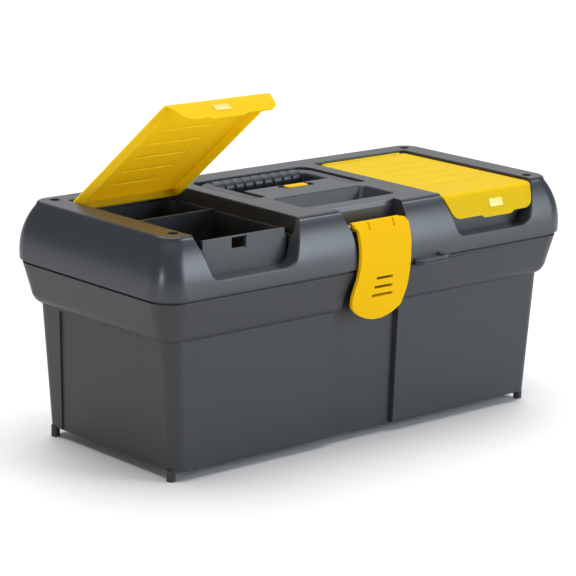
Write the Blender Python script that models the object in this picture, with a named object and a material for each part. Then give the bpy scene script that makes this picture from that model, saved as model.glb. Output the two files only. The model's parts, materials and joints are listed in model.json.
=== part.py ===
"""A 16 inch class moulded toolbox: base, hinged lid with two organizer bins, lift-out tray.

The script works in millimetres and scales to metres when it makes a mesh.
X runs along the box, the front faces -Y, +Z is up, and the origin is the floor under the centre.
"""

import math

import bmesh
import bpy
from mathutils import Matrix, Vector

MM = 0.001
GAP = 0.3                      # clearance between pieces that touch

# Driving dimensions, mm
WALL = 2.4
FLOOR_Z = 7.0                  # underside of the base
SHOULDER_Z = 104.9             # underside of the base collar
COLLAR_TOP_Z = 137.8
RIM_Z = COLLAR_TOP_Z + GAP     # underside of the lid
TOP_Z = 182.0
FOOT_HALF = (179.55, 77.65)    # half length and half depth at the floor of the base
WAIST_HALF = (187.75, 80.6)    # the same just under the collar
COLLAR_HALF = (201.0, 92.3)    # the same at the collar's top edge
LID_HALF = (203.0, 94.0)       # the same at the lid's lower edge
LID_SHRINK = (12.25, 13.15)    # how far the lid draws in up to its top
LID_BOW = 2.4                  # power of that draw-in: the lid's sides bow outwards
END_PANEL_DEPTH = 3.0          # recesses of the end panels and of the front panel
FRONT_PANEL_DEPTH = 4.0
END_PANEL_HALF = 57.0
FRONT_PANEL_HALF = 32.5
PEG_AT = (177.5, 70.0)         # pegs under the base, and the dimples in the lid that take them
PEG_RADIUS = 3.3

# Hinge axes, as (y, z)
LID_AXIS = (95.5, 138.0)
ORGANIZER_AXIS = (60.5, 178.0)
HANDLE_AXIS = (-7.0, 176.0)
LATCH_AXIS = (-83.5, 168.0)
ORGANIZER_OPEN_DEG = 39.0      # the left organizer lid stands open by this much

# Organizer wells, for the right-hand side; the left side is their mirror image
WELL_X = (71.5, 170.6)
WELL_Y = (-81.0, 64.2)
LEDGE_Z = 168.5
POCKET_X = (73.8, 168.3)
POCKET_Y = (-80.6, 61.5)
WELL_FOOT_Z = 143.0
SILL_Z = 149.5
SILL_X = (83.0, 158.0)
CUTOUT_RADIUS = 9.0
HATCH_X = 126.0                # centre of the catch and thumb tab
BIN_FLOOR_Z = 141.8
BIN_RIM_Z = 171.5
BIN_FRONT_Z = 175.6
BIN_WALL = 2.0
DIVIDER_Y = 8.0
DIVIDER_TOP_Z = 173.5
DIVIDER_THICK = 1.6

# Carry handle and the recesses in the bridge between the wells
HANDLE_HALF = 56.3
HANDLE_ARM = 11.3
HANDLE_REAR_Y = 59.0
HANDLE_INNER_Y = 44.5
HANDLE_BAR_Y = 51.5
HANDLE_LOW_Z = 171.0
HANDLE_HIGH_Z = 181.0
GRIP_HALF = 43.5
GRIP_RADIUS = 6.3
GRIP_BORE = 3.7
GRIP_CORE = 3.4
HAND_WELL_Z = 152.0
HAND_WELL_Y = (13.0, 60.6)
CHANNEL_Z = 170.2
PIN_RADIUS = 2.0
ROD_RADIUS = 1.5

# Front latch and its pocket
LATCH_POCKET_HALF = 31.0
LATCH_POCKET_BACK = -74.0
COLLAR_POCKET_BACK = -84.0
LATCH_THICK = 3.0

# Rear hinge stations at x = +-HINGE_X
HINGE_X = 120.0
KNUCKLE_RADIUS = 4.5
KNUCKLE_HALF = 5.4             # half width of the lid's knuckle, between two base knuckles
KNUCKLE_OUT = 16.0

# Lift-out tray
TRAY_FLOOR_Z = 72.0
TRAY_LEDGE_Z = 110.2
TRAY_RIM_Z = 112.4
TRAY_HANDLE_HALF = 45.0
TRAY_HANDLE_THICK = 5.0
TRAY_HANDLE_FOOT_Z = 92.0
TRAY_HANDLE_TOP_Z = 117.0

GREY = (0.105, 0.112, 0.122)
DARK = (0.075, 0.079, 0.086)
YELLOW = (0.93, 0.62, 0.015)
STEEL = (0.55, 0.56, 0.57)

SIDES = {"left": -1, "right": 1}


def clear_scene():
    """Start from an empty scene with one collection for parts and one for cutters."""
    for item in list(bpy.data.objects):
        bpy.data.objects.remove(item, do_unlink=True)
    made = []
    for name in ("toolbox_with_tray", "cutters"):
        group = bpy.data.collections.new(name)
        bpy.context.scene.collection.children.link(group)
        made.append(group)
    return made


PARTS, CUTTERS = clear_scene()


def material(name, colour, roughness, metallic=0.0):
    """A plain Principled material."""
    made = bpy.data.materials.new(name)
    made.use_nodes = True
    shader = made.node_tree.nodes["Principled BSDF"]
    shader.inputs["Base Color"].default_value = (*colour, 1.0)
    shader.inputs["Roughness"].default_value = roughness
    shader.inputs["Metallic"].default_value = metallic
    return made


def solid(bm, name, look=None):
    """Turn a bmesh in millimetres into an object: a part if it has a look, else a cutter."""
    bmesh.ops.recalc_face_normals(bm, faces=bm.faces)
    bmesh.ops.scale(bm, vec=(MM, MM, MM), verts=bm.verts)
    mesh = bpy.data.meshes.new(name)
    bm.to_mesh(mesh)
    bm.free()
    made = bpy.data.objects.new(name, mesh)
    if look is None:
        CUTTERS.objects.link(made)
        made.display_type = "WIRE"
        made.hide_render = True
    else:
        PARTS.objects.link(made)
        mesh.materials.append(look)
        mesh.shade_smooth()
        mesh.set_sharp_from_angle(angle=math.radians(35))
    return made


def arc(cx, cy, radius, start, end, steps):
    """Points along an arc, angles in degrees."""
    points = []
    for k in range(steps + 1):
        angle = math.radians(start + (end - start) * k / steps)
        points.append((cx + radius * math.cos(angle), cy + radius * math.sin(angle)))
    return points


def rounded(x0, x1, y0, y1, radius, steps=6):
    """Outline of a rectangle with rounded corners, counter-clockwise."""
    points = arc(x1 - radius, y1 - radius, radius, 0, 90, steps)
    points += arc(x0 + radius, y1 - radius, radius, 90, 180, steps)
    points += arc(x0 + radius, y0 + radius, radius, 180, 270, steps)
    points += arc(x1 - radius, y0 + radius, radius, 270, 360, steps)
    return points


def loft(name, sections, look=None, steps=6):
    """Skin between rounded rectangles given as (z, x0, x1, y0, y1, radius), closed at both ends."""
    bm = bmesh.new()
    rings = []
    for z, x0, x1, y0, y1, radius in sections:
        outline = rounded(x0, x1, y0, y1, radius, steps)
        rings.append([bm.verts.new((x, y, z)) for x, y in outline])
    count = len(rings[0])
    for low, high in zip(rings, rings[1:]):
        for k in range(count):
            after = (k + 1) % count
            bm.faces.new((low[k], low[after], high[after], high[k]))
    bm.faces.new(reversed(rings[0]))
    bm.faces.new(rings[-1])
    bmesh.ops.triangulate(bm, faces=bm.faces)
    return solid(bm, name, look)


def centred(z, half, radius):
    """A loft section centred on the box."""
    return (z, -half[0], half[0], -half[1], half[1], radius)


def box(name, x, y, z, look=None):
    """A block between the pairs x, y and z."""
    bm = bmesh.new()
    bmesh.ops.create_cube(bm, size=1.0)
    size = (x[1] - x[0], y[1] - y[0], z[1] - z[0])
    middle = ((x[0] + x[1]) / 2, (y[0] + y[1]) / 2, (z[0] + z[1]) / 2)
    bmesh.ops.scale(bm, vec=size, verts=bm.verts)
    bmesh.ops.translate(bm, vec=middle, verts=bm.verts)
    return solid(bm, name, look)


def rod(name, centre, axis, length, radius, look=None, segments=24):
    """A round bar about centre, along X, Y or Z."""
    bm = bmesh.new()
    bmesh.ops.create_cone(bm, cap_ends=True, segments=segments, radius1=radius, radius2=radius,
                          depth=length)
    turn = {"X": Matrix.Rotation(math.pi / 2, 4, "Y"), "Y": Matrix.Rotation(math.pi / 2, 4, "X")}
    bmesh.ops.transform(bm, matrix=turn.get(axis, Matrix.Identity(4)), verts=bm.verts)
    bmesh.ops.translate(bm, vec=centre, verts=bm.verts)
    return solid(bm, name, look)


def prism(name, outline, axis, low, high, look=None):
    """A flat outline given the thickness low..high along axis.

    The outline's pairs are (y, z) for axis X, (x, z) for axis Y and (x, y) for axis Z.
    """
    flat = bpy.data.curves.new(name, "CURVE")
    flat.dimensions = "2D"
    flat.fill_mode = "BOTH"
    flat.extrude = (high - low) / 2
    spline = flat.splines.new("POLY")
    spline.points.add(len(outline) - 1)
    for point, (a, b) in zip(spline.points, outline):
        point.co = (a, b, 0.0, 1.0)
    spline.use_cyclic_u = True
    holder = bpy.data.objects.new(name, flat)
    bpy.context.scene.collection.objects.link(holder)
    depsgraph = bpy.context.evaluated_depsgraph_get()
    mesh = bpy.data.meshes.new_from_object(holder.evaluated_get(depsgraph))
    bpy.data.objects.remove(holder, do_unlink=True)
    bm = bmesh.new()
    bm.from_mesh(mesh)
    bmesh.ops.remove_doubles(bm, verts=bm.verts, dist=0.0001)
    middle = (low + high) / 2
    frames = {
        "X": Matrix(((0, 0, 1, middle), (1, 0, 0, 0), (0, 1, 0, 0), (0, 0, 0, 1))),
        "Y": Matrix(((1, 0, 0, 0), (0, 0, -1, middle), (0, 1, 0, 0), (0, 0, 0, 1))),
        "Z": Matrix.Translation((0, 0, middle)),
    }
    bmesh.ops.transform(bm, matrix=frames[axis], verts=bm.verts)
    return solid(bm, name, look)


def boolean(target, tool, operation):
    """Add an exact Boolean and remember its tool, so that both can hang from one empty."""
    step = target.modifiers.new(tool.name, "BOOLEAN")
    step.operation = operation
    step.solver = "EXACT"
    step.object = tool


def cut(target, *tools):
    for tool in tools:
        boolean(target, tool, "DIFFERENCE")


def join(target, *tools):
    for tool in tools:
        boolean(target, tool, "UNION")


def keep(target, *tools):
    for tool in tools:
        boolean(target, tool, "INTERSECT")


def family(item):
    """The object and every tool that its Booleans use, at any depth."""
    found = [item]
    for step in item.modifiers:
        found += family(step.object)
    return found


def hang(name, place, members, turn_deg=0.0):
    """Put moving pieces under an empty on their joint's axis, turned about X."""
    pivot = bpy.data.objects.new(name, None)
    PARTS.objects.link(pivot)
    pivot.location = Vector(place) * MM
    for piece in members:
        for item in family(piece):
            item.parent = pivot
            item.matrix_parent_inverse = Matrix.Translation(-pivot.location)
    pivot.rotation_euler = (math.radians(turn_deg), 0.0, 0.0)


def mirrored(side, pair):
    """An x range for the right-hand side, moved to the given side."""
    return tuple(sorted((side * pair[0], side * pair[1])))


# ---------------------------------------------------------------- base

def body_half(z):
    """Half length and half depth of the base below its collar."""
    part = (z - FLOOR_Z) / (SHOULDER_Z - FLOOR_Z)
    return tuple(low + (high - low) * part for low, high in zip(FOOT_HALF, WAIST_HALF))


def collar_sections(inset, lift):
    """The collar from its rounded underside to its top edge; share 1 is at the body, 0 at the top."""
    rows = ((0.0, 1.0), (0.7, 0.82), (2.3, 0.66), (4.7, 0.54), (8.4, 0.44))
    sections = []
    for rise, share in rows:
        half = [top + (low - top) * share - inset for low, top in zip(WAIST_HALF, COLLAR_HALF)]
        sections.append(centred(SHOULDER_Z + rise + lift, half, 20.0 - 8.0 * share - inset))
    half = [top - inset for top in COLLAR_HALF]
    sections.append(centred(COLLAR_TOP_Z + lift, half, 20.0 - inset))
    return sections


def end_panel(side, inset, name):
    """The space of an end panel's recess, with its inner face moved in by inset."""
    low = body_half(FLOOR_Z)[0] - END_PANEL_DEPTH - inset
    high = body_half(SHOULDER_Z)[0] - END_PANEL_DEPTH - inset
    top = SHOULDER_Z - 2.0 + inset
    outline = [(side * low, 0.0), (side * high, top), (side * 230.0, top), (side * 230.0, 0.0)]
    half = END_PANEL_HALF + inset
    return prism(name, outline, "Y", -half, half)


def front_panel(inset, name):
    """The space of the front panel's recess, with its inner face moved in by inset."""
    low = -(body_half(FLOOR_Z)[1] - FRONT_PANEL_DEPTH - inset)
    high = -(body_half(SHOULDER_Z)[1] - FRONT_PANEL_DEPTH - inset)
    top = SHOULDER_Z - 2.0 + inset
    outline = [(low, 0.0), (high, top), (-130.0, top), (-130.0, 0.0)]
    half = FRONT_PANEL_HALF + inset
    return prism(name, outline, "X", -half, half)


def base_cavity():
    """The inside of the base: its outer form less the wall, and less what backs each recess."""
    floor = [value - WALL for value in FOOT_HALF]
    waist = [value - WALL for value in WAIST_HALF]
    sections = [centred(FLOOR_Z + WALL, [value - 2.0 for value in floor], 6.0)]
    sections.append(centred(FLOOR_Z + WALL + 2.0, floor, 7.0))
    sections.append(centred(SHOULDER_Z, waist, 9.6))
    sections += collar_sections(WALL, WALL)[:-1]
    sections.append(centred(COLLAR_TOP_Z + 5.0, [value - WALL for value in COLLAR_HALF], 17.6))
    cavity = loft("base_cavity", sections)
    cut(cavity, end_panel(-1, WALL, "left_panel_back"), end_panel(1, WALL, "right_panel_back"))
    cut(cavity, front_panel(WALL, "front_panel_back"))
    half = LATCH_POCKET_HALF + WALL
    cut(cavity, box("collar_pocket_back", (-half, half), (-110, COLLAR_POCKET_BACK + WALL), (100, 160)))
    return cavity


def padlock_lug(name, low, high, look=None):
    """A half-oval lug with an eye for a padlock's shackle."""
    outline = arc(41.0, -93.0, 7.0, 180, 270, 6) + arc(61.0, -93.0, 7.0, 270, 360, 6)
    outline += [(68.0, -90.5), (34.0, -90.5)]
    return prism(name, outline, "Z", low, high, look)


def padlock_eye(name):
    return rod(name, (59.0, -96.15, 131.0), "Z", 20.0, 3.1, segments=20)


def make_base(look):
    """Base with its collar, pegs, latch keeper, padlock lug and the outer hinge knuckles."""
    sections = [centred(FLOOR_Z, [value - 1.5 for value in FOOT_HALF], 7.5)]
    sections.append(centred(FLOOR_Z + 1.5, FOOT_HALF, 9.0))
    sections += collar_sections(0.0, 0.0)
    base = loft("base_tub", sections, look)
    cut(base, end_panel(-1, 0.0, "left_panel"), end_panel(1, 0.0, "right_panel"))
    cut(base, front_panel(0.0, "front_panel"))
    cut(base, base_cavity())
    half = LATCH_POCKET_HALF
    cut(base, box("collar_pocket", (-half, half), (-110, COLLAR_POCKET_BACK), (100, 150)))
    join(base, box("latch_keeper", (-14, 14), (-88.5, COLLAR_POCKET_BACK + 0.5), (116, 118.5)))
    cut(base, box("parting_dip", (LATCH_POCKET_HALF - 0.5, 71.3), (-110, -86), (136.0, 150)))
    join(base, padlock_lug("base_lug", 132.6, 136.0))
    cut(base, padlock_eye("base_eye"))
    for x in (-PEG_AT[0], PEG_AT[0]):
        for y in (-PEG_AT[1], PEG_AT[1]):
            join(base, rod("peg", (x, y, 4.25), "Z", 8.5, PEG_RADIUS, segments=16))
    for side in (-1, 1):
        centre = (side * HINGE_X, *LID_AXIS)
        for shift in (-1, 1):
            x0 = side * HINGE_X + shift * (KNUCKLE_HALF + GAP)
            x1 = side * HINGE_X + shift * KNUCKLE_OUT
            span = tuple(sorted((x0, x1)))
            middle = (sum(span) / 2, *LID_AXIS)
            join(base, box("hinge_web", span, (88.0, 95.5), (133.5, 137.0)))
            join(base, rod("knuckle", middle, "X", span[1] - span[0], KNUCKLE_RADIUS))
        relief = 2 * (KNUCKLE_HALF + GAP)
        cut(base, rod("lid_knuckle_space", centre, "X", relief, KNUCKLE_RADIUS + 0.5))
        cut(base, rod("pin_space", centre, "X", 2 * KNUCKLE_OUT - 4.0, PIN_RADIUS + GAP))
    return base


# ---------------------------------------------------------------- lid

def lid_half(z):
    """Half length and half depth of the lid at a height: its rim less a power of the rise."""
    part = (z - RIM_Z) / (TOP_Z - RIM_Z)
    return tuple(rim - shrink * part ** LID_BOW for rim, shrink in zip(LID_HALF, LID_SHRINK))


def lid_form(name, inset, low, high, edge, look=None):
    """The lid's outer form less an inset, from low to high, with its top edge rounded by edge."""
    levels = [low, 143.0, 149.0, 155.0, 161.0, 167.0, 173.0, high - edge]
    sections = []
    for z in levels:
        half = [value - inset for value in lid_half(max(z, RIM_Z))]
        radius = 21.0 - 7.0 * (z - RIM_Z) / (TOP_Z - RIM_Z) - inset
        sections.append(centred(z, half, radius))
    top = sections[-1]
    for angle in (30, 60, 90):
        back = edge * (1 - math.cos(math.radians(angle)))
        rise = edge * math.sin(math.radians(angle))
        sections.append((top[0] + rise, top[1] + back, top[2] - back, top[3] + back,
                         top[4] - back, top[5] - back))
    return loft(name, sections, look)


def cutout_outline(side, spread, top):
    """Front view of a well's cut-out: slanted sides, rounded lower corners, widened by spread."""
    slope = (SILL_X[0] - WELL_X[0]) / (TOP_Z - SILL_Z)
    low = SILL_Z - spread
    radius = CUTOUT_RADIUS
    lean = math.degrees(math.atan(slope))
    inner = SILL_X[0] - spread
    outer = SILL_X[1] + spread
    rise = top - SILL_Z
    reach = radius * math.tan(math.radians((90 - lean) / 2))
    points = [(inner - slope * rise, top)]
    points += arc(inner + reach, low + radius, radius, 180 + lean, 270, 6)
    points += arc(outer - reach, low + radius, radius, 270, 360 - lean, 6)
    points.append((outer + slope * rise, top))
    return [(side * x, z) for x, z in points]


def lid_cavity():
    """The inside of the lid: its outer form less the wall, and less what lines each recess."""
    cavity = lid_form("lid_cavity", WALL, RIM_Z - 8.0, TOP_Z - WALL, 2.0)
    for side in (-1, 1):
        x = mirrored(side, (WELL_X[0] - WALL, WELL_X[1] + WALL))
        y = (WELL_Y[0] - WALL, WELL_Y[1] + WALL)
        cut(cavity, box("well_lining", x, y, (WELL_FOOT_Z, 200)))
        lining = cutout_outline(side, WALL, TOP_Z + 20.0)
        cut(cavity, prism("cutout_lining", lining, "Y", -110.0, WELL_Y[0]))
    half = LATCH_POCKET_HALF + 3.5
    cut(cavity, box("latch_lining", (-half, half), (-110, LATCH_POCKET_BACK + WALL), (120, 200)))
    cut(cavity, box("hand_lining", (-60.5, 60.5), (HAND_WELL_Y[0] - WALL, HAND_WELL_Y[1] + WALL),
                    (HAND_WELL_Z - WALL, 200)))
    cut(cavity, box("channel_lining", (-62.5, 62.5), (-16.0, 15.0), (CHANNEL_Z - WALL, 200)))
    cut(cavity, box("tray_lining", (-48.4, 48.4), (-62.4, -19.6), (166.4, 200)))
    return cavity


def cut_wells(lid):
    """Openings for the organizer bins, with a ledge for the bins' flanges and a front cut-out."""
    for side in (-1, 1):
        x = mirrored(side, WELL_X)
        well = loft("well", [(z, *x, *WELL_Y, 3.0) for z in (LEDGE_Z, 200.0)], steps=3)
        x = mirrored(side, POCKET_X)
        pocket = loft("bin_pocket", [(z, *x, *POCKET_Y, 8.0) for z in (120.0, 175.0)], steps=4)
        outline = cutout_outline(side, 0.0, TOP_Z + 15.0)
        front = prism("front_cutout", outline, "Y", -120.0, WELL_Y[0] + 1.0)
        middle = side * sum(WELL_X) / 2
        length = WELL_X[1] - WELL_X[0] + 2 * 1.7
        sockets = rod("rod_sockets", (middle, *ORGANIZER_AXIS), "X", length, ROD_RADIUS + GAP, segments=16)
        cut(lid, well, pocket, front, sockets)


def cut_bridge(lid):
    """Recesses between the wells: handle channels, hand well, badge seat, small parts tray."""
    y0, y1 = HAND_WELL_Y
    hand = loft("hand_well", [(z, -58.0, 58.0, y0, y1, 9.0) for z in (HAND_WELL_Z, 200.0)], steps=4)
    cut(lid, hand)
    for side in (-1, 1):
        x = mirrored(side, (43.5, 58.0))
        cut(lid, box("arm_channel", x, (-13.0, y0 + 10.0), (CHANNEL_Z, 200)))
        middle = side * 50.8
        cut(lid, rod("pin_socket", (middle, *HANDLE_AXIS), "X", 19.4, PIN_RADIUS + GAP, segments=16))
    cut(lid, loft("badge_seat", [(z, -13.0, 19.0, 0.0, 12.0, 5.9) for z in (180.8, 190.0)], steps=6))
    cut(lid, loft("small_parts_tray", [(168.8, -38.0, 38.0, -54.0, -28.0, 4.0),
                                       (TOP_Z, -46.0, 46.0, -60.0, -22.0, 6.0),
                                       (TOP_Z + 9.0, -46.0, 46.0, -60.0, -22.0, 6.0)]))
    half = LATCH_POCKET_HALF
    cut(lid, box("latch_pocket", (-half, half), (-120, LATCH_POCKET_BACK), (110, 200)))
    cut(lid, rod("latch_sockets", (0, *LATCH_AXIS), "X", 2 * half + 4.0, ROD_RADIUS + GAP, segments=16))


def make_lid(look):
    """Lid with its organizer wells, handle recess, latch pocket and the middle hinge knuckles."""
    lid = lid_form("lid_shell", 0.0, RIM_Z, TOP_Z, 3.0, look)
    cut(lid, lid_cavity())
    join(lid, box("dip_fill", (LATCH_POCKET_HALF, 71.0), (-93.8, -91.0), (136.4, 141.0)))
    cut_wells(lid)
    cut_bridge(lid)
    join(lid, padlock_lug("lid_lug", 136.4, 139.8))
    cut(lid, padlock_eye("lid_eye"))
    for x in (-PEG_AT[0], PEG_AT[0]):
        for y in (-PEG_AT[1], PEG_AT[1]):
            cut(lid, rod("stacking_dimple", (x, y, TOP_Z), "Z", 4.0, 4.6, segments=20))
    for side in (-1, 1):
        centre = (side * HINGE_X, *LID_AXIS)
        for shift in (-1, 1):
            middle = side * HINGE_X + shift * (KNUCKLE_HALF + KNUCKLE_OUT) / 2
            length = KNUCKLE_OUT - KNUCKLE_HALF + 0.8
            cut(lid, rod("knuckle_space", (middle, *LID_AXIS), "X", length, KNUCKLE_RADIUS + 0.5))
        span = (side * HINGE_X - KNUCKLE_HALF, side * HINGE_X + KNUCKLE_HALF)
        join(lid, box("lid_hinge_web", span, (91.0, 95.5), (138.6, 142.0)))
        join(lid, rod("lid_knuckle", centre, "X", 2 * KNUCKLE_HALF, KNUCKLE_RADIUS))
        cut(lid, rod("lid_pin_bore", centre, "X", 4 * KNUCKLE_OUT, PIN_RADIUS + GAP))
    return lid


# ---------------------------------------------------------------- bins and their dividers

def make_bin(side, word, look):
    """Open bin that hangs from its flange, with a square catch hole and divider guides."""
    x0, x1 = POCKET_X[0] + GAP, POCKET_X[1] - GAP
    y0, y1 = POCKET_Y[0] + GAP, POCKET_Y[1] - GAP
    bin_x = mirrored(side, (x0, x1))
    name = word + "_organizer_bin"
    organizer = loft(name, [(BIN_FLOOR_Z, *bin_x, y0, y1, 7.7), (LEDGE_Z + 1.0, *bin_x, y0, y1, 7.7)],
                     look, steps=4)
    flange_x = mirrored(side, (WELL_X[0] + 0.4, WELL_X[1] - 0.4))
    flange = loft("bin_flange", [(z, *flange_x, y0, WELL_Y[1] - 0.4, 2.7)
                                 for z in (LEDGE_Z + GAP, BIN_RIM_Z)], steps=3)
    front_x = mirrored(side, (x0 + 4.0, x1 - 4.0))
    join(organizer, flange)
    join(organizer, box("bin_front", front_x, (y0, y0 + BIN_WALL + 1.0), (LEDGE_Z, BIN_FRONT_Z)))
    inner_x = mirrored(side, (x0 + BIN_WALL, x1 - BIN_WALL))
    cut(organizer, loft("bin_space", [(z, *inner_x, y0 + BIN_WALL, y1 - BIN_WALL, 5.7)
                                      for z in (BIN_FLOOR_Z + BIN_WALL, 190.0)], steps=4))
    hole_x = mirrored(side, (HATCH_X - 8.0, HATCH_X + 8.0))
    cut(organizer, box("catch_hole", hole_x, (y0 - 5.0, y0 + 5.0), (167.0, 174.0)))
    for x in (x0 + BIN_WALL, x1 - BIN_WALL):
        for shift in (-1, 1):
            y = DIVIDER_Y + shift * (DIVIDER_THICK / 2 + GAP + 0.6)
            rail = box("guide_rail", (side * x - 1.6, side * x + 1.6), (y - 0.6, y + 0.6), (BIN_FLOOR_Z + 1.0, 169.0))
            join(organizer, rail)
    return organizer


def make_divider(side, word, look):
    """Loose plate that stands in a bin's guide rails."""
    x = mirrored(side, (POCKET_X[0] + GAP + BIN_WALL + GAP, POCKET_X[1] - GAP - BIN_WALL - GAP))
    y = (DIVIDER_Y - DIVIDER_THICK / 2, DIVIDER_Y + DIVIDER_THICK / 2)
    return box(word + "_bin_divider", x, y, (BIN_FLOOR_Z + BIN_WALL + GAP, DIVIDER_TOP_Z), look)


# ---------------------------------------------------------------- organizer lids

def organizer_profile():
    """Side view of an organizer lid: flat panel, then a lip curving down the lid's front."""
    outer = [(ORGANIZER_AXIS[0], 180.0), (-76.0, 180.0)]
    inner = [(ORGANIZER_AXIS[0], 178.0), (-75.0, 178.0)]
    for z in (179.0, 176.0, 172.0, 168.0, 164.0, 160.0):
        face = -lid_half(z)[1]
        outer.append((face + 0.3, z))
        inner.append((face + 2.3, z - 0.5))
    outer[2] = (-79.5, 179.3)
    inner[2] = (-79.2, 177.4)
    return outer + inner[::-1]


def lip_outline(side):
    """Front view of the lid's lip, inside the cut-out, with its thumb tab."""
    slope = (SILL_X[0] - WELL_X[0]) / (TOP_Z - SILL_Z)
    low = 162.0
    inner = WELL_X[0] + 1.3 + slope * (TOP_Z - low)
    outer = WELL_X[1] - 1.3 - slope * (TOP_Z - low)
    radius = 9.0
    lean = math.degrees(math.atan(slope))
    reach = radius * math.tan(math.radians((90 - lean) / 2))
    points = [(inner - slope * 30.0, low + 30.0)]
    points += arc(inner + reach, low + radius, radius, 180 + lean, 270, 5)
    points += [(HATCH_X - 18.0, low), (HATCH_X - 15.0, low - 2.0)]
    points += [(HATCH_X + 15.0, low - 2.0), (HATCH_X + 18.0, low)]
    points += arc(outer - reach, low + radius, radius, 270, 360 - lean, 5)
    points.append((outer + slope * 30.0, low + 30.0))
    return [(side * x, z) for x, z in points]


def skirt_outline():
    """Side view of a skirt: deep at the hinge, shallow at the front."""
    return [(ORGANIZER_AXIS[0], 179.0), (-75.0, 179.0), (-75.0, 175.5), (40.0, 172.2), (55.0, 172.2),
            (ORGANIZER_AXIS[0], 176.0)]


def make_organizer_lid(side, word, look):
    """Closed position; the left one is turned open by its empty."""
    x0, x1 = WELL_X[0] + 1.3, WELL_X[1] - 1.3
    x = mirrored(side, (x0, x1))
    cover = prism(word + "_organizer_lid", organizer_profile(), "X", *x, look)
    keep(cover, prism("lip_limit", lip_outline(side), "Y", -110.0, 90.0))
    for edge in (x0, x1 - 1.8):
        join(cover, prism("skirt", skirt_outline(), "X", *mirrored(side, (edge, edge + 1.8))))
    middle = side * sum(WELL_X) / 2
    barrel = rod("barrel", (middle, *ORGANIZER_AXIS), "X", x1 - x0 - 14.0, 3.0, segments=20)
    for edge, inward in ((x0, 1), (x1, -1)):
        corner = [(edge - inward, 64.0), (edge + 6.0 * inward, 64.0), (edge - inward, 52.0)]
        outline = [(side * px, py) for px, py in corner]
        cut(cover, prism("corner_chamfer", outline, "Z", 150.0, 190.0))
    join(cover, barrel)
    bore = rod("barrel_bore", (middle, *ORGANIZER_AXIS), "X", 120.0, ROD_RADIUS + GAP, segments=16)
    cut(cover, bore)
    return cover


def make_organizer_rod(side, word, look):
    middle = side * sum(WELL_X) / 2
    length = WELL_X[1] - WELL_X[0] + 2 * 1.4
    return rod(word + "_organizer_hinge_rod", (middle, *ORGANIZER_AXIS), "X", length, ROD_RADIUS, look,
               segments=16)


# ---------------------------------------------------------------- carry handle

def make_handle(look):
    """U-shaped bail that folds flat: two arms, a round core for the grip, bored for its pins."""
    half = HANDLE_HALF
    inner = half - HANDLE_ARM
    outline = arc(half - 13.0, HANDLE_REAR_Y - 13.0, 13.0, 0, 90, 6)
    outline += arc(-half + 13.0, HANDLE_REAR_Y - 13.0, 13.0, 90, 180, 6)
    outline += [(-half, HANDLE_AXIS[0]), (-inner, HANDLE_AXIS[0]), (-inner, HANDLE_INNER_Y)]
    outline += [(inner, HANDLE_INNER_Y), (inner, HANDLE_AXIS[0]), (half, HANDLE_AXIS[0])]
    handle = prism("carry_handle", outline, "Z", HANDLE_LOW_Z, HANDLE_HIGH_Z, look)
    cut(handle, box("grip_space", (-GRIP_HALF - GAP, GRIP_HALF + GAP), (20, 80), (150, 200)))
    bar = (0.0, HANDLE_BAR_Y, (HANDLE_LOW_Z + HANDLE_HIGH_Z) / 2)
    join(handle, rod("grip_core", bar, "X", 2 * GRIP_HALF + 4.0, GRIP_CORE, segments=20))
    for side in (-1, 1):
        centre = (side * (half - HANDLE_ARM / 2), *HANDLE_AXIS)
        join(handle, rod("arm_end", centre, "X", HANDLE_ARM, 5.0))
        cut(handle, rod("arm_bore", centre, "X", 2 * HANDLE_ARM, PIN_RADIUS + GAP, segments=16))
    return handle


def make_grip(look):
    """Ribbed sleeve around the handle's core, a turned profile about X."""
    ribs = 9
    pitch = 2 * GRIP_HALF / ribs
    profile = [(-GRIP_HALF, GRIP_BORE)]
    for k in range(ribs):
        start = -GRIP_HALF + k * pitch
        profile += [(start + 0.6, GRIP_RADIUS - 0.8), (start + 1.6, GRIP_RADIUS)]
        profile += [(start + pitch - 1.6, GRIP_RADIUS), (start + pitch - 0.6, GRIP_RADIUS - 0.8)]
    profile.append((GRIP_HALF, GRIP_BORE))
    bm = bmesh.new()
    ring = [bm.verts.new((x, 0.0, radius)) for x, radius in profile]
    edges = [bm.edges.new(pair) for pair in zip(ring, ring[1:] + ring[:1])]
    bmesh.ops.spin(bm, geom=ring + edges, axis=(1, 0, 0), cent=(0, 0, 0), angle=2 * math.pi, steps=20,
                   use_merge=True)
    bmesh.ops.remove_doubles(bm, verts=bm.verts, dist=0.001)
    middle = (0.0, HANDLE_BAR_Y, (HANDLE_LOW_Z + HANDLE_HIGH_Z) / 2)
    bmesh.ops.translate(bm, vec=middle, verts=bm.verts)
    return solid(bm, "handle_grip", look)


def make_handle_pin(side, word, look):
    return rod(word + "_handle_pin", (side * 50.8, *HANDLE_AXIS), "X", 18.6, PIN_RADIUS, look, segments=16)


def make_badge(look):
    """Blank oval-cornered plate in its seat."""
    return loft("badge_plate", [(z, -7.0, 13.0, 2.2, 9.8, 2.0) for z in (181.1, 182.4)], look, steps=4)


# ---------------------------------------------------------------- latch

def latch_profile():
    """Side view of the latch's bowed plate."""
    outer = [(-89.5, 172.8), (-92.4, 168.0), (-95.6, 158.0), (-97.5, 146.0), (-97.4, 135.0), (-95.4, 122.0),
             (-93.0, 110.0), (-91.4, 99.5)]
    inner = [(y + LATCH_THICK, z) for y, z in outer]
    return outer + inner[::-1]


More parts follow.
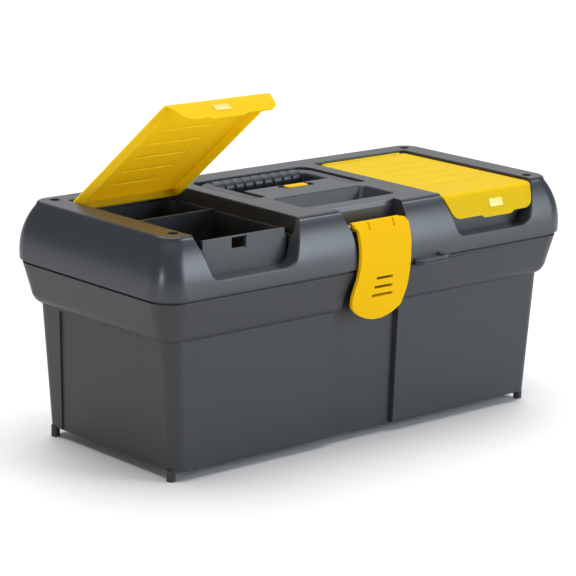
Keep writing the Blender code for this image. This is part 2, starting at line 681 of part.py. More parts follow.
def latch_outline():
    """Front view of the latch: narrow waist, shoulders, then a round tongue."""
    right = [(28.5, 166.0), (27.4, 156.0), (26.8, 145.0), (27.2, 132.0), (28.4, 116.0)]
    right += arc(25.9, 112.5, 2.5, 0, -90, 3)
    right += arc(17.0, 107.0, 3.0, 90, 60, 1)
    right += arc(0.0, 131.5, 32.0, -55, -90, 6)
    top = arc(24.5, 169.0, 4.0, 90, 0, 4)
    half = top + right
    return half + [(-x, z) for x, z in half[-2::-1]]


def make_latch(look):
    """Over-centre latch plate with a hinge barrel, three finger slots and a catch ledge."""
    latch = prism("front_latch", latch_profile(), "X", -30.0, 30.0, look)
    keep(latch, prism("latch_limit", latch_outline(), "Y", -120.0, -60.0))
    for z, half in ((131.0, 9.5), (124.5, 9.0), (118.0, 8.0)):
        cut(latch, box("latch_slot", (1.0 - half, 1.0 + half), (-110, -80), (z - 0.9, z + 0.9)))
    join(latch, box("latch_web", (-26, 26), (-91.0, LATCH_AXIS[0]), (166.4, 169.6)))
    join(latch, rod("latch_barrel", (0, *LATCH_AXIS), "X", 52.0, 3.4, segments=20))
    join(latch, box("latch_catch", (-12, 12), (-92.0, -88.9), (112.0, 115.4)))
    cut(latch, rod("latch_bore", (0, *LATCH_AXIS), "X", 60.0, ROD_RADIUS + GAP, segments=16))
    return latch


def make_latch_pin(look):
    return rod("latch_pivot_pin", (0, *LATCH_AXIS), "X", 2 * LATCH_POCKET_HALF + 3.4, ROD_RADIUS, look,
               segments=16)


def make_hinge_pin(side, word, look):
    return rod(word + "_lid_hinge_pin", (side * HINGE_X, *LID_AXIS), "X", 2 * KNUCKLE_OUT - 5.0, PIN_RADIUS,
               look, segments=16)


# ---------------------------------------------------------------- lift-out tray

def make_tray(look):
    """Tray that rests on the collar's inner shoulder: six compartments and a seat for its handle."""
    tray = loft("lift_out_tray", [
        (TRAY_FLOOR_Z, -175.0, 175.0, -70.0, 70.0, 10.0), (TRAY_FLOOR_Z + 2.0, -176.5, 176.5, -71.5, 71.5, 11.0),
        (TRAY_LEDGE_Z, -178.0, 178.0, -73.0, 73.0, 12.0), (TRAY_LEDGE_Z, -189.0, 189.0, -81.2, 81.2, 14.0),
        (TRAY_RIM_Z, -189.0, 189.0, -81.2, 81.2, 14.0)], look)
    columns = ((-175.5, -61.0), (-59.0, 59.0), (61.0, 175.5))
    for x0, x1 in columns:
        for y0, y1 in ((-70.5, -2.5), (2.5, 70.5)):
            space = loft("compartment", [(z, x0, x1, y0, y1, 8.0) for z in (TRAY_FLOOR_Z + 2.2, 130.0)], steps=4)
            cut(tray, space)
    half = TRAY_HANDLE_HALF + GAP
    cut(tray, box("handle_seat", (-half, half), (-10.0, 10.0), (TRAY_HANDLE_FOOT_Z, 130.0)))
    for side in (-1, 1):
        cut(tray, box("tongue_slot", mirrored(side, (19.7, 30.3)), (-1.2, 1.2), (83.5, 95.0)))
    return tray


def make_tray_handle(look):
    """Upright plate with a finger slot; two tongues snap into the tray's centre wall."""
    y = (-TRAY_HANDLE_THICK / 2, TRAY_HANDLE_THICK / 2)
    handle = box("tray_handle", (-TRAY_HANDLE_HALF, TRAY_HANDLE_HALF), y,
                 (TRAY_HANDLE_FOOT_Z + GAP, TRAY_HANDLE_TOP_Z), look)
    for side in (-1, 1):
        join(handle, box("tongue", mirrored(side, (20.0, 30.0)), (-0.9, 0.9), (84.0, 94.0)))
    grip = rounded(-36.0, 36.0, 97.0, 111.5, 6.0, 4)
    cut(handle, prism("finger_slot", grip, "Y", -10.0, 10.0))
    return handle


def build():
    """Make every part and hang the moving ones from their axes."""
    grey = material("grey_plastic", GREY, 0.45)
    dark = material("dark_plastic", DARK, 0.5)
    black = material("tray_plastic", (0.03, 0.032, 0.035), 0.5)
    yellow = material("yellow_plastic", YELLOW, 0.4)
    rubber = material("grip_plastic", (0.045, 0.047, 0.052), 0.55)
    steel = material("pin_steel", STEEL, 0.35, 1.0)

    make_base(dark)
    for word, side in SIDES.items():
        make_hinge_pin(side, word, steel)
    hang("tray_lift", (0, 0, TRAY_LEDGE_Z), [make_tray(black), make_tray_handle(black)])

    lid_group = [make_lid(grey), make_badge(yellow), make_latch_pin(steel)]
    for word, side in SIDES.items():
        lid_group.append(make_bin(side, word, grey))
        lid_group.append(make_divider(side, word, grey))
        lid_group.append(make_organizer_rod(side, word, steel))
        lid_group.append(make_handle_pin(side, word, steel))
    hang("lid_hinge", (0, *LID_AXIS), lid_group)

    hang("handle_hinge", (0, *HANDLE_AXIS), [make_handle(grey), make_grip(rubber)])
    hang("latch_hinge", (0, *LATCH_AXIS), [make_latch(yellow)])
    for word, side in SIDES.items():
        turn = -ORGANIZER_OPEN_DEG if word == "left" else 0.0
        middle = side * sum(WELL_X) / 2
        cover = make_organizer_lid(side, word, yellow)
        hang(word + "_organizer_hinge", (middle, *ORGANIZER_AXIS), [cover], turn)


build()
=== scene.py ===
# %% [markdown]
# # A moulded toolbox with a lift-out tray
# The real object is a family of polypropylene mouldings that snap together: a tapered base, a bowed
# lid with two organizer wells, covers, a latch and a folding handle.
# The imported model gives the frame: every size and place below is in millimetres in that same frame.

# %% Load the frame
import json
import math

import bmesh
import bpy
import numpy as np
from mathutils import Matrix, Vector


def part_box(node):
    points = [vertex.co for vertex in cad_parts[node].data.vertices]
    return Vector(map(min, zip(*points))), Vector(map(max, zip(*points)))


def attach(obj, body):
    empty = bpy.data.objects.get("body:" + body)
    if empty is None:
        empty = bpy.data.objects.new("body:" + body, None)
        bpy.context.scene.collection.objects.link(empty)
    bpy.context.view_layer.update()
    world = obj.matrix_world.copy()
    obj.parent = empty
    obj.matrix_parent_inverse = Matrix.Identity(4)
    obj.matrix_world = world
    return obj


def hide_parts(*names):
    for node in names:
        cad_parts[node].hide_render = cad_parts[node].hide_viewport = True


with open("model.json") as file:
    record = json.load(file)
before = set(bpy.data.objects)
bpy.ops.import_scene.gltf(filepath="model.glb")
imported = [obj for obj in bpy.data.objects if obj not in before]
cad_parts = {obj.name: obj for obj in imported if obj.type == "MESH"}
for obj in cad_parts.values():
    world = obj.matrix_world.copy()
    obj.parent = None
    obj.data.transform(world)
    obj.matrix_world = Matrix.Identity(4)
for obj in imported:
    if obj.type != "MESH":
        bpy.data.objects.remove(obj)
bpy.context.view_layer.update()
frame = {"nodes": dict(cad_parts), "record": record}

MM = 0.001
scene = bpy.context.scene

# %% [markdown]
# ## Camera
# A long lens looks down on the front left corner from two metres away.
# It keeps the box's parallel edges nearly parallel, so the proportions read true.

# %% Camera
CAMERA_AZIMUTH = -41.2
CAMERA_ELEVATION = 13.8
CAMERA_ROLL = 1.1
CAMERA_DISTANCE = 1.9949
CAMERA_TARGET = Vector((-0.0083, 0.0, 0.1038))
CAMERA_LENS = 162.3


def place_camera():
    """Point a camera at the target from an azimuth and an elevation, then roll it on its axis."""
    azimuth, elevation = math.radians(CAMERA_AZIMUTH), math.radians(CAMERA_ELEVATION)
    level = math.cos(elevation)
    back = Vector((math.sin(azimuth) * level, -math.cos(azimuth) * level, math.sin(elevation)))
    lens = bpy.data.cameras.new("camera")
    lens.lens = CAMERA_LENS
    lens.sensor_width = 36.0
    lens.clip_start, lens.clip_end = 0.05, 60.0
    holder = bpy.data.objects.new("camera", lens)
    scene.collection.objects.link(holder)
    roll = Matrix.Rotation(math.radians(CAMERA_ROLL), 3, "Z")
    turn = (-back).to_track_quat("-Z", "Y").to_matrix() @ roll
    holder.matrix_world = Matrix.Translation(CAMERA_TARGET + back * CAMERA_DISTANCE) @ turn.to_4x4()
    scene.camera = holder
    return holder


camera = place_camera()
print("camera stands at", [round(value, 3) for value in camera.location])

# %% [markdown]
# ## Mesh helpers
# Most mouldings are rounded rectangles stacked in height. One helper draws such a ring from four
# quarter arcs, a second skins a stack of rings, and a third pushes a flat outline along an axis.
# Recesses are then cut with Booleans, because a mould's cores do the same thing to the plastic.

# %% Rings and outlines
QUARTER_TURNS = np.arange(4) * np.pi / 2
CORNER_SIGNS = np.array([(1, 1), (-1, 1), (-1, -1), (1, -1)], float)


def rounded(x0, x1, y0, y1, radius, steps=10):
    """Rounded rectangle: each corner is its centre + radius (cos t, sin t) for a quarter turn."""
    t = np.linspace(0, np.pi / 2, steps + 1)[None, :] + QUARTER_TURNS[:, None]
    half = np.array([(x1 - x0) / 2 - radius, (y1 - y0) / 2 - radius])
    middle = np.array([(x0 + x1) / 2, (y0 + y1) / 2])
    centres = middle + CORNER_SIGNS * half
    points = centres[:, None, :] + radius * np.stack([np.cos(t), np.sin(t)], axis=-1)
    return points.reshape(-1, 2)


def arc(centre, radius, start, end, steps=8):
    """Points centre + radius (cos t, sin t), with t running from start to end in degrees."""
    t = np.radians(np.linspace(start, end, steps + 1))
    return np.array(centre) + radius * np.stack([np.cos(t), np.sin(t)], axis=-1)


# %% Meshes from arrays
def make_object(name, points, faces):
    """Put arrays in millimetres into a mesh in metres, with its faces turned outwards."""
    mesh = bpy.data.meshes.new(name)
    mesh.from_pydata((np.asarray(points, float) * MM).tolist(), [], faces)
    bm = bmesh.new()
    bm.from_mesh(mesh)
    bmesh.ops.recalc_face_normals(bm, faces=bm.faces)
    bm.to_mesh(mesh)
    bm.free()
    made = bpy.data.objects.new(name, mesh)
    scene.collection.objects.link(made)
    return made


def skin(name, rings, tube=False):
    """Join rings of equal length, an array (rings, points, 3), with quads.

    Both ends are capped, unless it is a tube whose last ring joins the first one again.
    """
    rings = np.asarray(rings, float)
    levels, count = rings.shape[:2]
    last = (levels - 1) * count
    low = np.arange(levels if tube else levels - 1)[:, None] * count
    high = (low + count) % (levels * count)
    here = np.arange(count)[None, :]
    after = (here + 1) % count
    quads = np.stack([low + here, low + after, high + after, high + here], axis=-1).reshape(-1, 4)
    caps = [] if tube else [list(range(count))[::-1], list(range(last, last + count))]
    return make_object(name, rings.reshape(-1, 3), quads.tolist() + caps)


def stack(name, sections, steps=10):
    """Skin rounded rectangles given as rows of z, x0, x1, y0, y1, radius."""
    rings = []
    for z, x0, x1, y0, y1, radius in sections:
        outline = rounded(x0, x1, y0, y1, radius, steps)
        rings.append(np.column_stack([outline, np.full(len(outline), z)]))
    return skin(name, rings)


AXIS_COLUMNS = {"X": (2, 0, 1), "Y": (0, 2, 1), "Z": (0, 1, 2)}
AXIS_ORDER = {"X": (1, 2, 0), "Y": (0, 2, 1), "Z": (0, 1, 2)}


def prism(name, outline, axis, low, high):
    """Push a flat outline from low to high: its pairs are (y, z), (x, z) or (x, y)."""
    outline = np.asarray(outline, float)
    rings = []
    for level in (low, high):
        flat = np.column_stack([outline, np.full(len(outline), level)])
        rings.append(flat[:, AXIS_COLUMNS[axis]])
    return skin(name, rings)


def box(name, x, y, z):
    """A plain block between the pairs x, y and z: only ever a cutter or a web."""
    return prism(name, [(x[0], y[0]), (x[1], y[0]), (x[1], y[1]), (x[0], y[1])], "Z", *z)


def bar(name, centre, axis, length, radius, steps=32):
    """A round bar: a circle pushed along its axis, about its centre."""
    t = np.arange(steps) * 2 * np.pi / steps
    circle = radius * np.stack([np.cos(t), np.sin(t)], axis=-1)
    across, up, along = (centre[column] for column in AXIS_ORDER[axis])
    return prism(name, circle + (across, up), axis, along - length / 2, along + length / 2)


# %% Cutting, joining and softening
def settle(piece):
    """Replace a piece's mesh by what its modifiers make of it."""
    depsgraph = bpy.context.evaluated_depsgraph_get()
    mesh = bpy.data.meshes.new_from_object(piece.evaluated_get(depsgraph))
    piece.modifiers.clear()
    piece.data = mesh
    return piece


def combine(piece, tools, operation):
    """Run one exact Boolean after another, then throw the tools away."""
    for tool in tools:
        step = piece.modifiers.new("step", "BOOLEAN")
        step.operation = operation
        step.solver = "EXACT"
        step.object = tool
    settle(piece)
    for tool in tools:
        bpy.data.objects.remove(tool, do_unlink=True)
    return piece


def cut(piece, *tools):
    """Take the tools away from a piece."""
    return combine(piece, tools, "DIFFERENCE")


def join(piece, *tools):
    """Add the tools to a piece."""
    return combine(piece, tools, "UNION")


def trim(piece, *tools):
    """Keep only what a piece shares with the tools."""
    return combine(piece, tools, "INTERSECT")


def soften(piece, width, segments=3, angle=32.0):
    """Round every crease sharper than angle by width, after merging the flat faces' loose edges."""
    bm = bmesh.new()
    bm.from_mesh(piece.data)
    bmesh.ops.remove_doubles(bm, verts=bm.verts, dist=0.00002)
    bmesh.ops.dissolve_limit(bm, angle_limit=math.radians(0.4), verts=bm.verts, edges=bm.edges)
    bm.to_mesh(piece.data)
    bm.free()
    step = piece.modifiers.new("rounding", "BEVEL")
    step.width = width * MM
    step.segments = segments
    step.limit_method = "ANGLE"
    step.angle_limit = math.radians(angle)
    step.use_clamp_overlap = True
    step.miter_outer = "MITER_ARC"
    return settle(piece)


def finish_shading(piece, angle=40.0):
    """Shade smooth, keep real corners sharp and weigh normals by face size."""
    piece.data.shade_smooth()
    piece.data.set_sharp_from_angle(angle=math.radians(angle))
    step = piece.modifiers.new("normals", "WEIGHTED_NORMAL")
    step.keep_sharp = True
    settle(piece)
    print(piece.name, "has", len(piece.data.polygons), "faces")
    return piece


# %% [markdown]
# ## Finishes
# Every moulding shares one surface: a faint spark-eroded grain with slightly uneven gloss.
# It is a node group, placed in each material with its own colours and strengths.
# The thin yellow covers also let light wander inside them, which is what makes them glow.

# %% The shared moulded surface
def add_node(tree, kind, place, **values):
    """Make a node, move it and set any of its properties or inputs by name."""
    node = tree.nodes.new(kind)
    node.location = place
    for key, value in values.items():
        if hasattr(node, key):
            setattr(node, key, value)
        else:
            node.inputs[key.replace("_", " ")].default_value = value
    return node


def moulded_group():
    """Grain, gloss and tone of a moulded plastic from object coordinates."""
    group = bpy.data.node_groups.new("moulded surface", "ShaderNodeTree")
    face = group.interface
    for name, kind, value in (("Base", "NodeSocketColor", (0.1, 0.1, 0.1, 1.0)),
                              ("Tone", "NodeSocketFloat", 0.06),
                              ("Gloss", "NodeSocketFloat", 0.4),
                              ("Gloss Spread", "NodeSocketFloat", 0.08),
                              ("Grain Size", "NodeSocketFloat", 1400.0)):
        socket = face.new_socket(name=name, in_out="INPUT", socket_type=kind)
        socket.default_value = value
    for name, kind in (("Color", "NodeSocketColor"), ("Roughness", "NodeSocketFloat"),
                       ("Height", "NodeSocketFloat")):
        face.new_socket(name=name, in_out="OUTPUT", socket_type=kind)
    source = add_node(group, "NodeGroupInput", (-900, 0))
    result = add_node(group, "NodeGroupOutput", (500, 0))
    where = add_node(group, "ShaderNodeTexCoord", (-900, -300))
    cloud = add_node(group, "ShaderNodeTexNoise", (-600, 200), Scale=14.0, Detail=3.0)
    fine = add_node(group, "ShaderNodeTexNoise", (-600, -250), Detail=2.0, Roughness=0.6)
    link = group.links.new
    for texture in (cloud, fine):
        link(where.outputs["Object"], texture.inputs["Vector"])
    link(source.outputs["Grain Size"], fine.inputs["Scale"])
    swing = add_node(group, "ShaderNodeMath", (-400, 200), operation="SUBTRACT")
    swing.inputs[1].default_value = 0.5
    link(cloud.outputs["Fac"], swing.inputs[0])
    tone = add_node(group, "ShaderNodeMath", (-200, 300), operation="MULTIPLY_ADD")
    tone.inputs[2].default_value = 1.0
    link(swing.outputs[0], tone.inputs[0])
    link(source.outputs["Tone"], tone.inputs[1])
    shade = add_node(group, "ShaderNodeVectorMath", (100, 300), operation="SCALE")
    link(source.outputs["Base"], shade.inputs[0])
    link(tone.outputs[0], shade.inputs["Scale"])
    link(shade.outputs[0], result.inputs["Color"])
    gloss = add_node(group, "ShaderNodeMath", (-200, 50), operation="MULTIPLY_ADD")
    link(swing.outputs[0], gloss.inputs[0])
    link(source.outputs["Gloss Spread"], gloss.inputs[1])
    link(source.outputs["Gloss"], gloss.inputs[2])
    link(gloss.outputs[0], result.inputs["Roughness"])
    link(fine.outputs["Fac"], result.inputs["Height"])
    return group


MOULDED = moulded_group()
GRAIN_DEPTH = 0.00004
# Red and green light wander far inside yellow plastic and blue light hardly at all.
WANDER_RADIUS = (1.0, 0.75, 0.06)


def plastic(name, colour, gloss, grain=GRAIN_DEPTH, tone=0.08, spread=0.08, glow=0.0,
            specular=0.5, wander=0.004):
    """A moulded plastic; glow lets light wander that many metres inside thin bright walls."""
    made = bpy.data.materials.new(name)
    made.use_nodes = True
    tree = made.node_tree
    shader = tree.nodes["Principled BSDF"]
    surface = add_node(tree, "ShaderNodeGroup", (-500, 0), node_tree=MOULDED)
    for key, value in (("Base", (*colour, 1.0)), ("Tone", tone), ("Gloss", gloss),
                       ("Gloss Spread", spread)):
        surface.inputs[key].default_value = value
    bump = add_node(tree, "ShaderNodeBump", (-250, -200), Distance=grain)
    link = tree.links.new
    link(surface.outputs["Height"], bump.inputs["Height"])
    link(surface.outputs["Color"], shader.inputs["Base Color"])
    link(surface.outputs["Roughness"], shader.inputs["Roughness"])
    link(bump.outputs["Normal"], shader.inputs["Normal"])
    shader.inputs["Specular IOR Level"].default_value = specular
    if glow > 0.0:
        shader.inputs["Subsurface Weight"].default_value = glow
        shader.inputs["Subsurface Radius"].default_value = WANDER_RADIUS
        shader.inputs["Subsurface Scale"].default_value = wander
    return made


LID_GREY = plastic("lid plastic", (0.034, 0.039, 0.047), 0.3, tone=0.1, spread=0.1, specular=0.46)
BASE_GREY = plastic("base plastic", (0.033, 0.0355, 0.039), 0.42, specular=0.35)
BIN_GREY = plastic("bin plastic", (0.037, 0.044, 0.054), 0.33)
TRAY_BLACK = plastic("tray plastic", (0.013, 0.014, 0.016), 0.42)
GRIP_GREY = plastic("grip plastic", (0.034, 0.039, 0.047), 0.38)
YELLOW = plastic("yellow plastic", (0.8, 0.46, 0.004), 0.48, glow=0.25, specular=0.03)
COVER_YELLOW = plastic("cover plastic", (0.9, 0.46, 0.01), 0.45, glow=0.7, specular=0.03,
                       wander=0.015)
# The pad's low roughness is real gloss; its pale colour, paler than the cover's, is a painted
# highlight.
PAD_PAINTED_HIGHLIGHT = plastic("pad painted highlight", (0.88, 0.66, 0.16), 0.14, grain=0.0, tone=0.02, spread=0.02)
print("made", len(bpy.data.materials), "materials")

# %% [markdown]
# ## Key places
# The frame's own boxes and joint axes say where everything goes.

# %% Places read from the frame
def extent(node):
    """Lowest and highest corner of a CAD node, in millimetres."""
    low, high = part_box(node)
    return np.array(low) / MM, np.array(high) / MM


JOINTS = {joint["name"]: joint for joint in frame["record"]["behaviour"]["joints"]}


def axis_of(joint):
    """The (y, z) place of a hinge whose axis runs along X, in millimetres."""
    place = JOINTS[joint]["pos_m"]
    return place[1] / MM, place[2] / MM


LID_AXIS = axis_of("lid_hinge")
COVER_AXIS = axis_of("left_organizer_hinge")
HANDLE_AXIS = axis_of("handle_hinge")
LATCH_AXIS = axis_of("latch_hinge")
COVER_OPEN_DEG = -JOINTS["left_organizer_hinge"]["range_deg"][0]
lid_low, lid_high = extent("lid_shell")
base_low, base_high = extent("base_tub")
RIM_Z = 138.1
TOP_Z = round(float(lid_high[2]), 3)
GAP = 0.3
WALL = 2.4
THICK_BORE, THIN_BORE = 2.3, 1.8
print("base from", np.round(base_low, 1), "to", np.round(base_high, 1), "mm")
print("lid from", np.round(lid_low, 1), "to", np.round(lid_high, 1), "mm")
print("covers hinge at", COVER_AXIS, "mm; left cover open", COVER_OPEN_DEG, "degrees")

# %% [markdown]
# ## The base
# The base is a deep tapered tub with a wide collar that the lid lands on.
# A draft angle lets it leave the mould, so each level is a slightly larger rounded rectangle.
# The end and front panels are shallow recesses, cut with slanted blocks that keep the same draft.

# %% The base's form
FLOOR_Z, SHOULDER_Z, COLLAR_TOP_Z = 7.0, 104.9, 137.8
FOOT_HALF = np.array((179.55, 77.65))
WAIST_HALF = np.array((187.75, 80.6))
COLLAR_HALF = np.array((201.0, 92.3))
COLLAR_CORNER = 20.0
COLLAR_SWELL = ((0.0, 1.0), (0.25, 0.9), (0.7, 0.81), (1.4, 0.73), (2.3, 0.66), (3.4, 0.6),
                (4.7, 0.54), (6.4, 0.485), (8.4, 0.44), (12.0, 0.38))


def ring_row(z, half, radius):
    """A row for stack: a rounded rectangle about the middle, given by its half sizes."""
    return (z, -half[0], half[0], -half[1], half[1], radius)

def body_half(z):
    """Half length and half depth of the tub below its collar, linear in height."""
    return FOOT_HALF + (WAIST_HALF - FOOT_HALF) * (z - FLOOR_Z) / (SHOULDER_Z - FLOOR_Z)


def collar_rows(inset, lift, rebate=0.0):
    """The collar swells from the waist as a quarter-round: share falls from 1 there to 0 on top.

    A rebate under its top edge leaves the dark line on which the lid seems to float.
    """
    rows = []
    corner = COLLAR_CORNER - inset
    for rise, share in COLLAR_SWELL:
        half = COLLAR_HALF + (WAIST_HALF - COLLAR_HALF) * share - inset
        rows.append(ring_row(SHOULDER_Z + rise + lift, half, COLLAR_CORNER - 8.0 * share - inset))
    top = COLLAR_TOP_Z + lift
    if rebate > 0.0:
        for back, drop in ((0.0, 2.15), (0.12, 1.85), (0.4, 1.7), (rebate, 1.65)):
            rows.append(ring_row(top - drop, COLLAR_HALF - inset - back, corner - back))
    rows.append(ring_row(top, COLLAR_HALF - inset - rebate, corner - rebate))
    return rows


def panel_recess(name, axis, sign, half, depth, inset=0.0):
    """A block with the tub's own draft, to sink a panel by depth; inset thickens it inwards."""
    column = 0 if axis == "X" else 1
    low = body_half(FLOOR_Z)[column] - depth - inset
    high = body_half(SHOULDER_Z)[column] - depth - inset
    top = SHOULDER_Z - 2.0 + inset
    outline = [(sign * low, -1.0), (sign * high, top - 1.2), (sign * (high + 1.2), top),
               (sign * 230.0, top), (sign * 230.0, -1.0)]
    return prism(name, outline, "Y" if axis == "X" else "X", -half - inset, half + inset)


# %% The padlock lug, shared by base and lid
LUG_X, LUG_Y, LUG_ROUND, LUG_ROOT_Y = (41.0, 61.0), -93.0, 7.0, -90.5
EYE_AT, EYE_RADIUS = (59.0, -96.15, 131.0), 3.1


def padlock_lug(low, high):
    """The lug between two heights: in plan, two quarter rounds on a flat root."""
    left, right = LUG_X
    plan = np.vstack([arc((left, LUG_Y), LUG_ROUND, 180, 270),
                      arc((right, LUG_Y), LUG_ROUND, 270, 360),
                      [(right + LUG_ROUND, LUG_ROOT_Y), (left - LUG_ROUND, LUG_ROOT_Y)]])
    return prism("lug", plan, "Z", low, high)


def padlock_eye():
    """The tool for the lug's hole, long enough for base and lid alike."""
    return bar("eye", EYE_AT, "Z", 20.0, EYE_RADIUS)


# %% Build the base
POCKET_HALF, POCKET_BACK_Y = 31.0, -84.0
BASE_POCKET = [(POCKET_HALF, 150), (-23.6, 150), (-23.6, 139), (-25.2, 131), (-28.4, 123),
               (-29.8, 116), (-POCKET_HALF, 108), (-POCKET_HALF, 100), (POCKET_HALF, 100)]
END_PANEL = [(-59.8, -2.0), (59.8, -2.0), (51.0, 105.0), (-51.0, 105.0)]
PEG_AT = (177.5, 70.0)
HINGE_X = 120.0
KNUCKLE_RADIUS, KNUCKLE_SPACE = 4.5, 5.0


def base_inside():
    """The tub's inside: its outer form less the wall, and less what backs each recess."""
    rows = [ring_row(FLOOR_Z + WALL, FOOT_HALF - WALL - 2.0, 6.0),
            ring_row(FLOOR_Z + WALL + 2.0, FOOT_HALF - WALL, 7.0),
            ring_row(SHOULDER_Z, WAIST_HALF - WALL, 9.6)]
    rows += collar_rows(WALL, WALL)[:-1]
    rows.append(ring_row(COLLAR_TOP_Z + 5.0, COLLAR_HALF - WALL, 17.6))
    inside = stack("inside", rows)
    backs = [panel_recess("back", "X", sign, 57.0, 3.0, WALL) for sign in (-1, 1)]
    backs.append(panel_recess("back", "Y", -1, 32.5, 4.0, WALL))
    half = POCKET_HALF + WALL
    backs.append(box("back", (-half, half), (-110, POCKET_BACK_Y + WALL), (100, 160)))
    return cut(inside, *backs)


def add_base_hinge(tub, side):
    """Two knuckles on webs, with room between them for the lid's own and a bore for the pin."""
    centre = (side * HINGE_X, *LID_AXIS)
    for shift in (-1, 1):
        span = sorted((side * HINGE_X + shift * 5.7, side * HINGE_X + shift * 16.0))
        middle = (sum(span) / 2, *LID_AXIS)
        join(tub, box("web", span, (88.0, LID_AXIS[0]), (133.5, 137.0)),
             bar("knuckle", middle, "X", span[1] - span[0], KNUCKLE_RADIUS))
    return cut(tub, bar("relief", centre, "X", 11.4, KNUCKLE_SPACE),
               bar("pin_space", centre, "X", 28.0, THICK_BORE))


def build_base():
    """The outer form less its recesses and its inside, then the small parts in moulding order."""
    rows = [ring_row(FLOOR_Z + rise, FOOT_HALF - back, 9.0 - back)
            for rise, back in ((0.0, 1.5), (0.45, 0.45), (1.5, 0.0))]
    rows += collar_rows(0.0, 0.0, 1.3)
    tub = stack("tub_moulding", rows, steps=12)
    ends = [trim(panel_recess("end", "X", sign, 62.0, 1.9),
                 prism("limit", END_PANEL, "X", -250, 250)) for sign in (-1, 1)]
    cut(tub, *ends, panel_recess("front", "Y", -1, 32.5, 4.0), base_inside())
    cut(tub, prism("pocket", BASE_POCKET, "Y", -110, POCKET_BACK_Y))
    join(tub, box("keeper", (-14, 14), (-88.5, -83.5), (116, 118.5)))
    cut(tub, box("parting_dip", (POCKET_HALF - 0.5, 71.3), (-110, -86), (136.0, 150)))
    join(tub, padlock_lug(133.6, 136.0))
    cut(tub, padlock_eye())
    for x in (-PEG_AT[0], PEG_AT[0]):
        join(tub, *(bar("peg", (x, y, 4.25), "Z", 8.5, 3.3) for y in (-PEG_AT[1], PEG_AT[1])))
    for side in (-1, 1):
        add_base_hinge(tub, side)
    return tub


def dress(piece, look):
    """Give a piece, or a CAD node that stays, its one material."""
    piece.data.materials.clear()
    piece.data.materials.append(look)


def install(piece, body, node, look):
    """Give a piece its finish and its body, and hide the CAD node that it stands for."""
    dress(piece, look)
    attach(piece, body)
    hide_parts(node)
    return piece


tub = finish_shading(soften(build_base(), 0.6))
install(tub, "base", "base_tub", BASE_GREY)

# %% [markdown]
# ## The lid
# The lid's sides bow outwards and its top edge is rounded, so its form is a stack of rounded
# rectangles whose half size falls by a power of the height.
# A recess with a rounded mouth is cut by a tool that flares as a quarter circle near the surface.
# The same flare follows the bowed front face round the two cut-outs, where a Bevel would stumble.

# %% The lid's form
LID_HALF = np.array((203.0, 94.0))
LID_SHRINK = np.array((12.25, 13.15))
LID_BOW = 2.4
LID_CORNER, CORNER_LOSS = 21.0, 7.0
EDGE_TURN = np.radians((15, 30, 45, 60, 75, 90))
FLOOR_TURN = np.radians((90, 60, 30))
FLARE = np.radians((0.0, 22.0, 45.0, 65.0, 83.0))


def lid_half(z):
    """Half length and half depth of the lid: the rim's less a power of the share of the rise."""
    part = np.clip((np.asarray(z, float) - RIM_Z) / (TOP_Z - RIM_Z), 0.0, None)
    return LID_HALF - LID_SHRINK * part[..., None] ** LID_BOW


def grown(z, x, y, radius, out):
    """A row for stack whose rectangle stands out beyond the pairs x and y on every side."""
    return (z, x[0] - out, x[1] + out, y[0] - out, y[1] + out, max(radius + out, 0.3))


def lid_form(name, inset, low, high, edge, foot=0.0, steps=12):
    """Stack from low to high; the top edge is rounded by edge and the lower edge by foot."""
    rows = []
    if foot > 0.0:
        for back, rise in ((foot, 0.0), (0.3 * foot, 0.3 * foot)):
            rows.append(ring_row(low + rise, lid_half(low) - inset - back, LID_CORNER - back))
    for z in np.linspace(low + foot, high - edge, 15):
        radius = LID_CORNER - CORNER_LOSS * (z - RIM_Z) / (TOP_Z - RIM_Z) - inset
        rows.append(ring_row(z, lid_half(z) - inset, radius))
    z, x0, x1, y0, y1, radius = rows[-1]
    for angle in EDGE_TURN:
        back, rise = edge * (1 - math.cos(angle)), edge * math.sin(angle)
        rows.append(grown(z + rise, (x0, x1), (y0, y1), radius, -back))
    return stack(name, rows, steps)


def mouth(name, x, y, radius, low, fillet, floor=0.0, top=TOP_Z):
    """Recess tool: its lower edge is rounded by floor, and its mouth flares with the angle a.

    The flare stands out by fillet (1 - cos a) at the height top - fillet + fillet sin a.
    """
    rows = []
    if floor > 0.0:
        for angle in FLOOR_TURN:
            back, drop = floor * (1 - math.cos(angle)), floor * (1 - math.sin(angle))
            rows.append(grown(low + drop, x, y, radius, -back))
    rows.append((low + floor, *x, *y, radius))
    for angle in FLARE:
        out = fillet * (1 - math.cos(angle))
        rows.append(grown(top - fillet + fillet * math.sin(angle), x, y, radius, out))
    rows.append(grown(top + 12.0, x, y, radius, out))
    return stack(name, rows, steps=8)


def square_on(along):
    """Unit vectors a quarter turn clockwise from each row of along, so (x, y) gives (y, -x)."""
    along = along / np.linalg.norm(along, axis=1, keepdims=True)
    return np.column_stack([along[:, 1], -along[:, 0]])


def outward(outline):
    """Normals of a closed outline that runs anticlockwise, from its neighbours' difference."""
    return square_on(np.roll(outline, -1, axis=0) - np.roll(outline, 1, axis=0))


# %% The front cut-outs
WELL_X, WELL_Y = (71.5, 170.6), (-81.0, 64.2)
BIN_X, BIN_Y = (73.8, 168.3), (-80.6, 61.5)
LEDGE_Z = 168.5
SILL_Z = 149.5
SILL_X = (83.0, 158.0)
CUTOUT_ROUND = 9.0
SIDE_SLOPE = (SILL_X[0] - WELL_X[0]) / (TOP_Z - SILL_Z)
SIDE_LEAN = math.degrees(math.atan(SIDE_SLOPE))
CORNER_REACH = CUTOUT_ROUND * math.tan(math.radians((90 - SIDE_LEAN) / 2))


def lower_corners(inner, outer, low):
    """The two rounds between a level lower edge and sides that lean outwards."""
    height = low + CUTOUT_ROUND
    return (arc((inner + CORNER_REACH, height), CUTOUT_ROUND, 180 + SIDE_LEAN, 270, 12),
            arc((outer - CORNER_REACH, height), CUTOUT_ROUND, 270, 360 - SIDE_LEAN, 12))


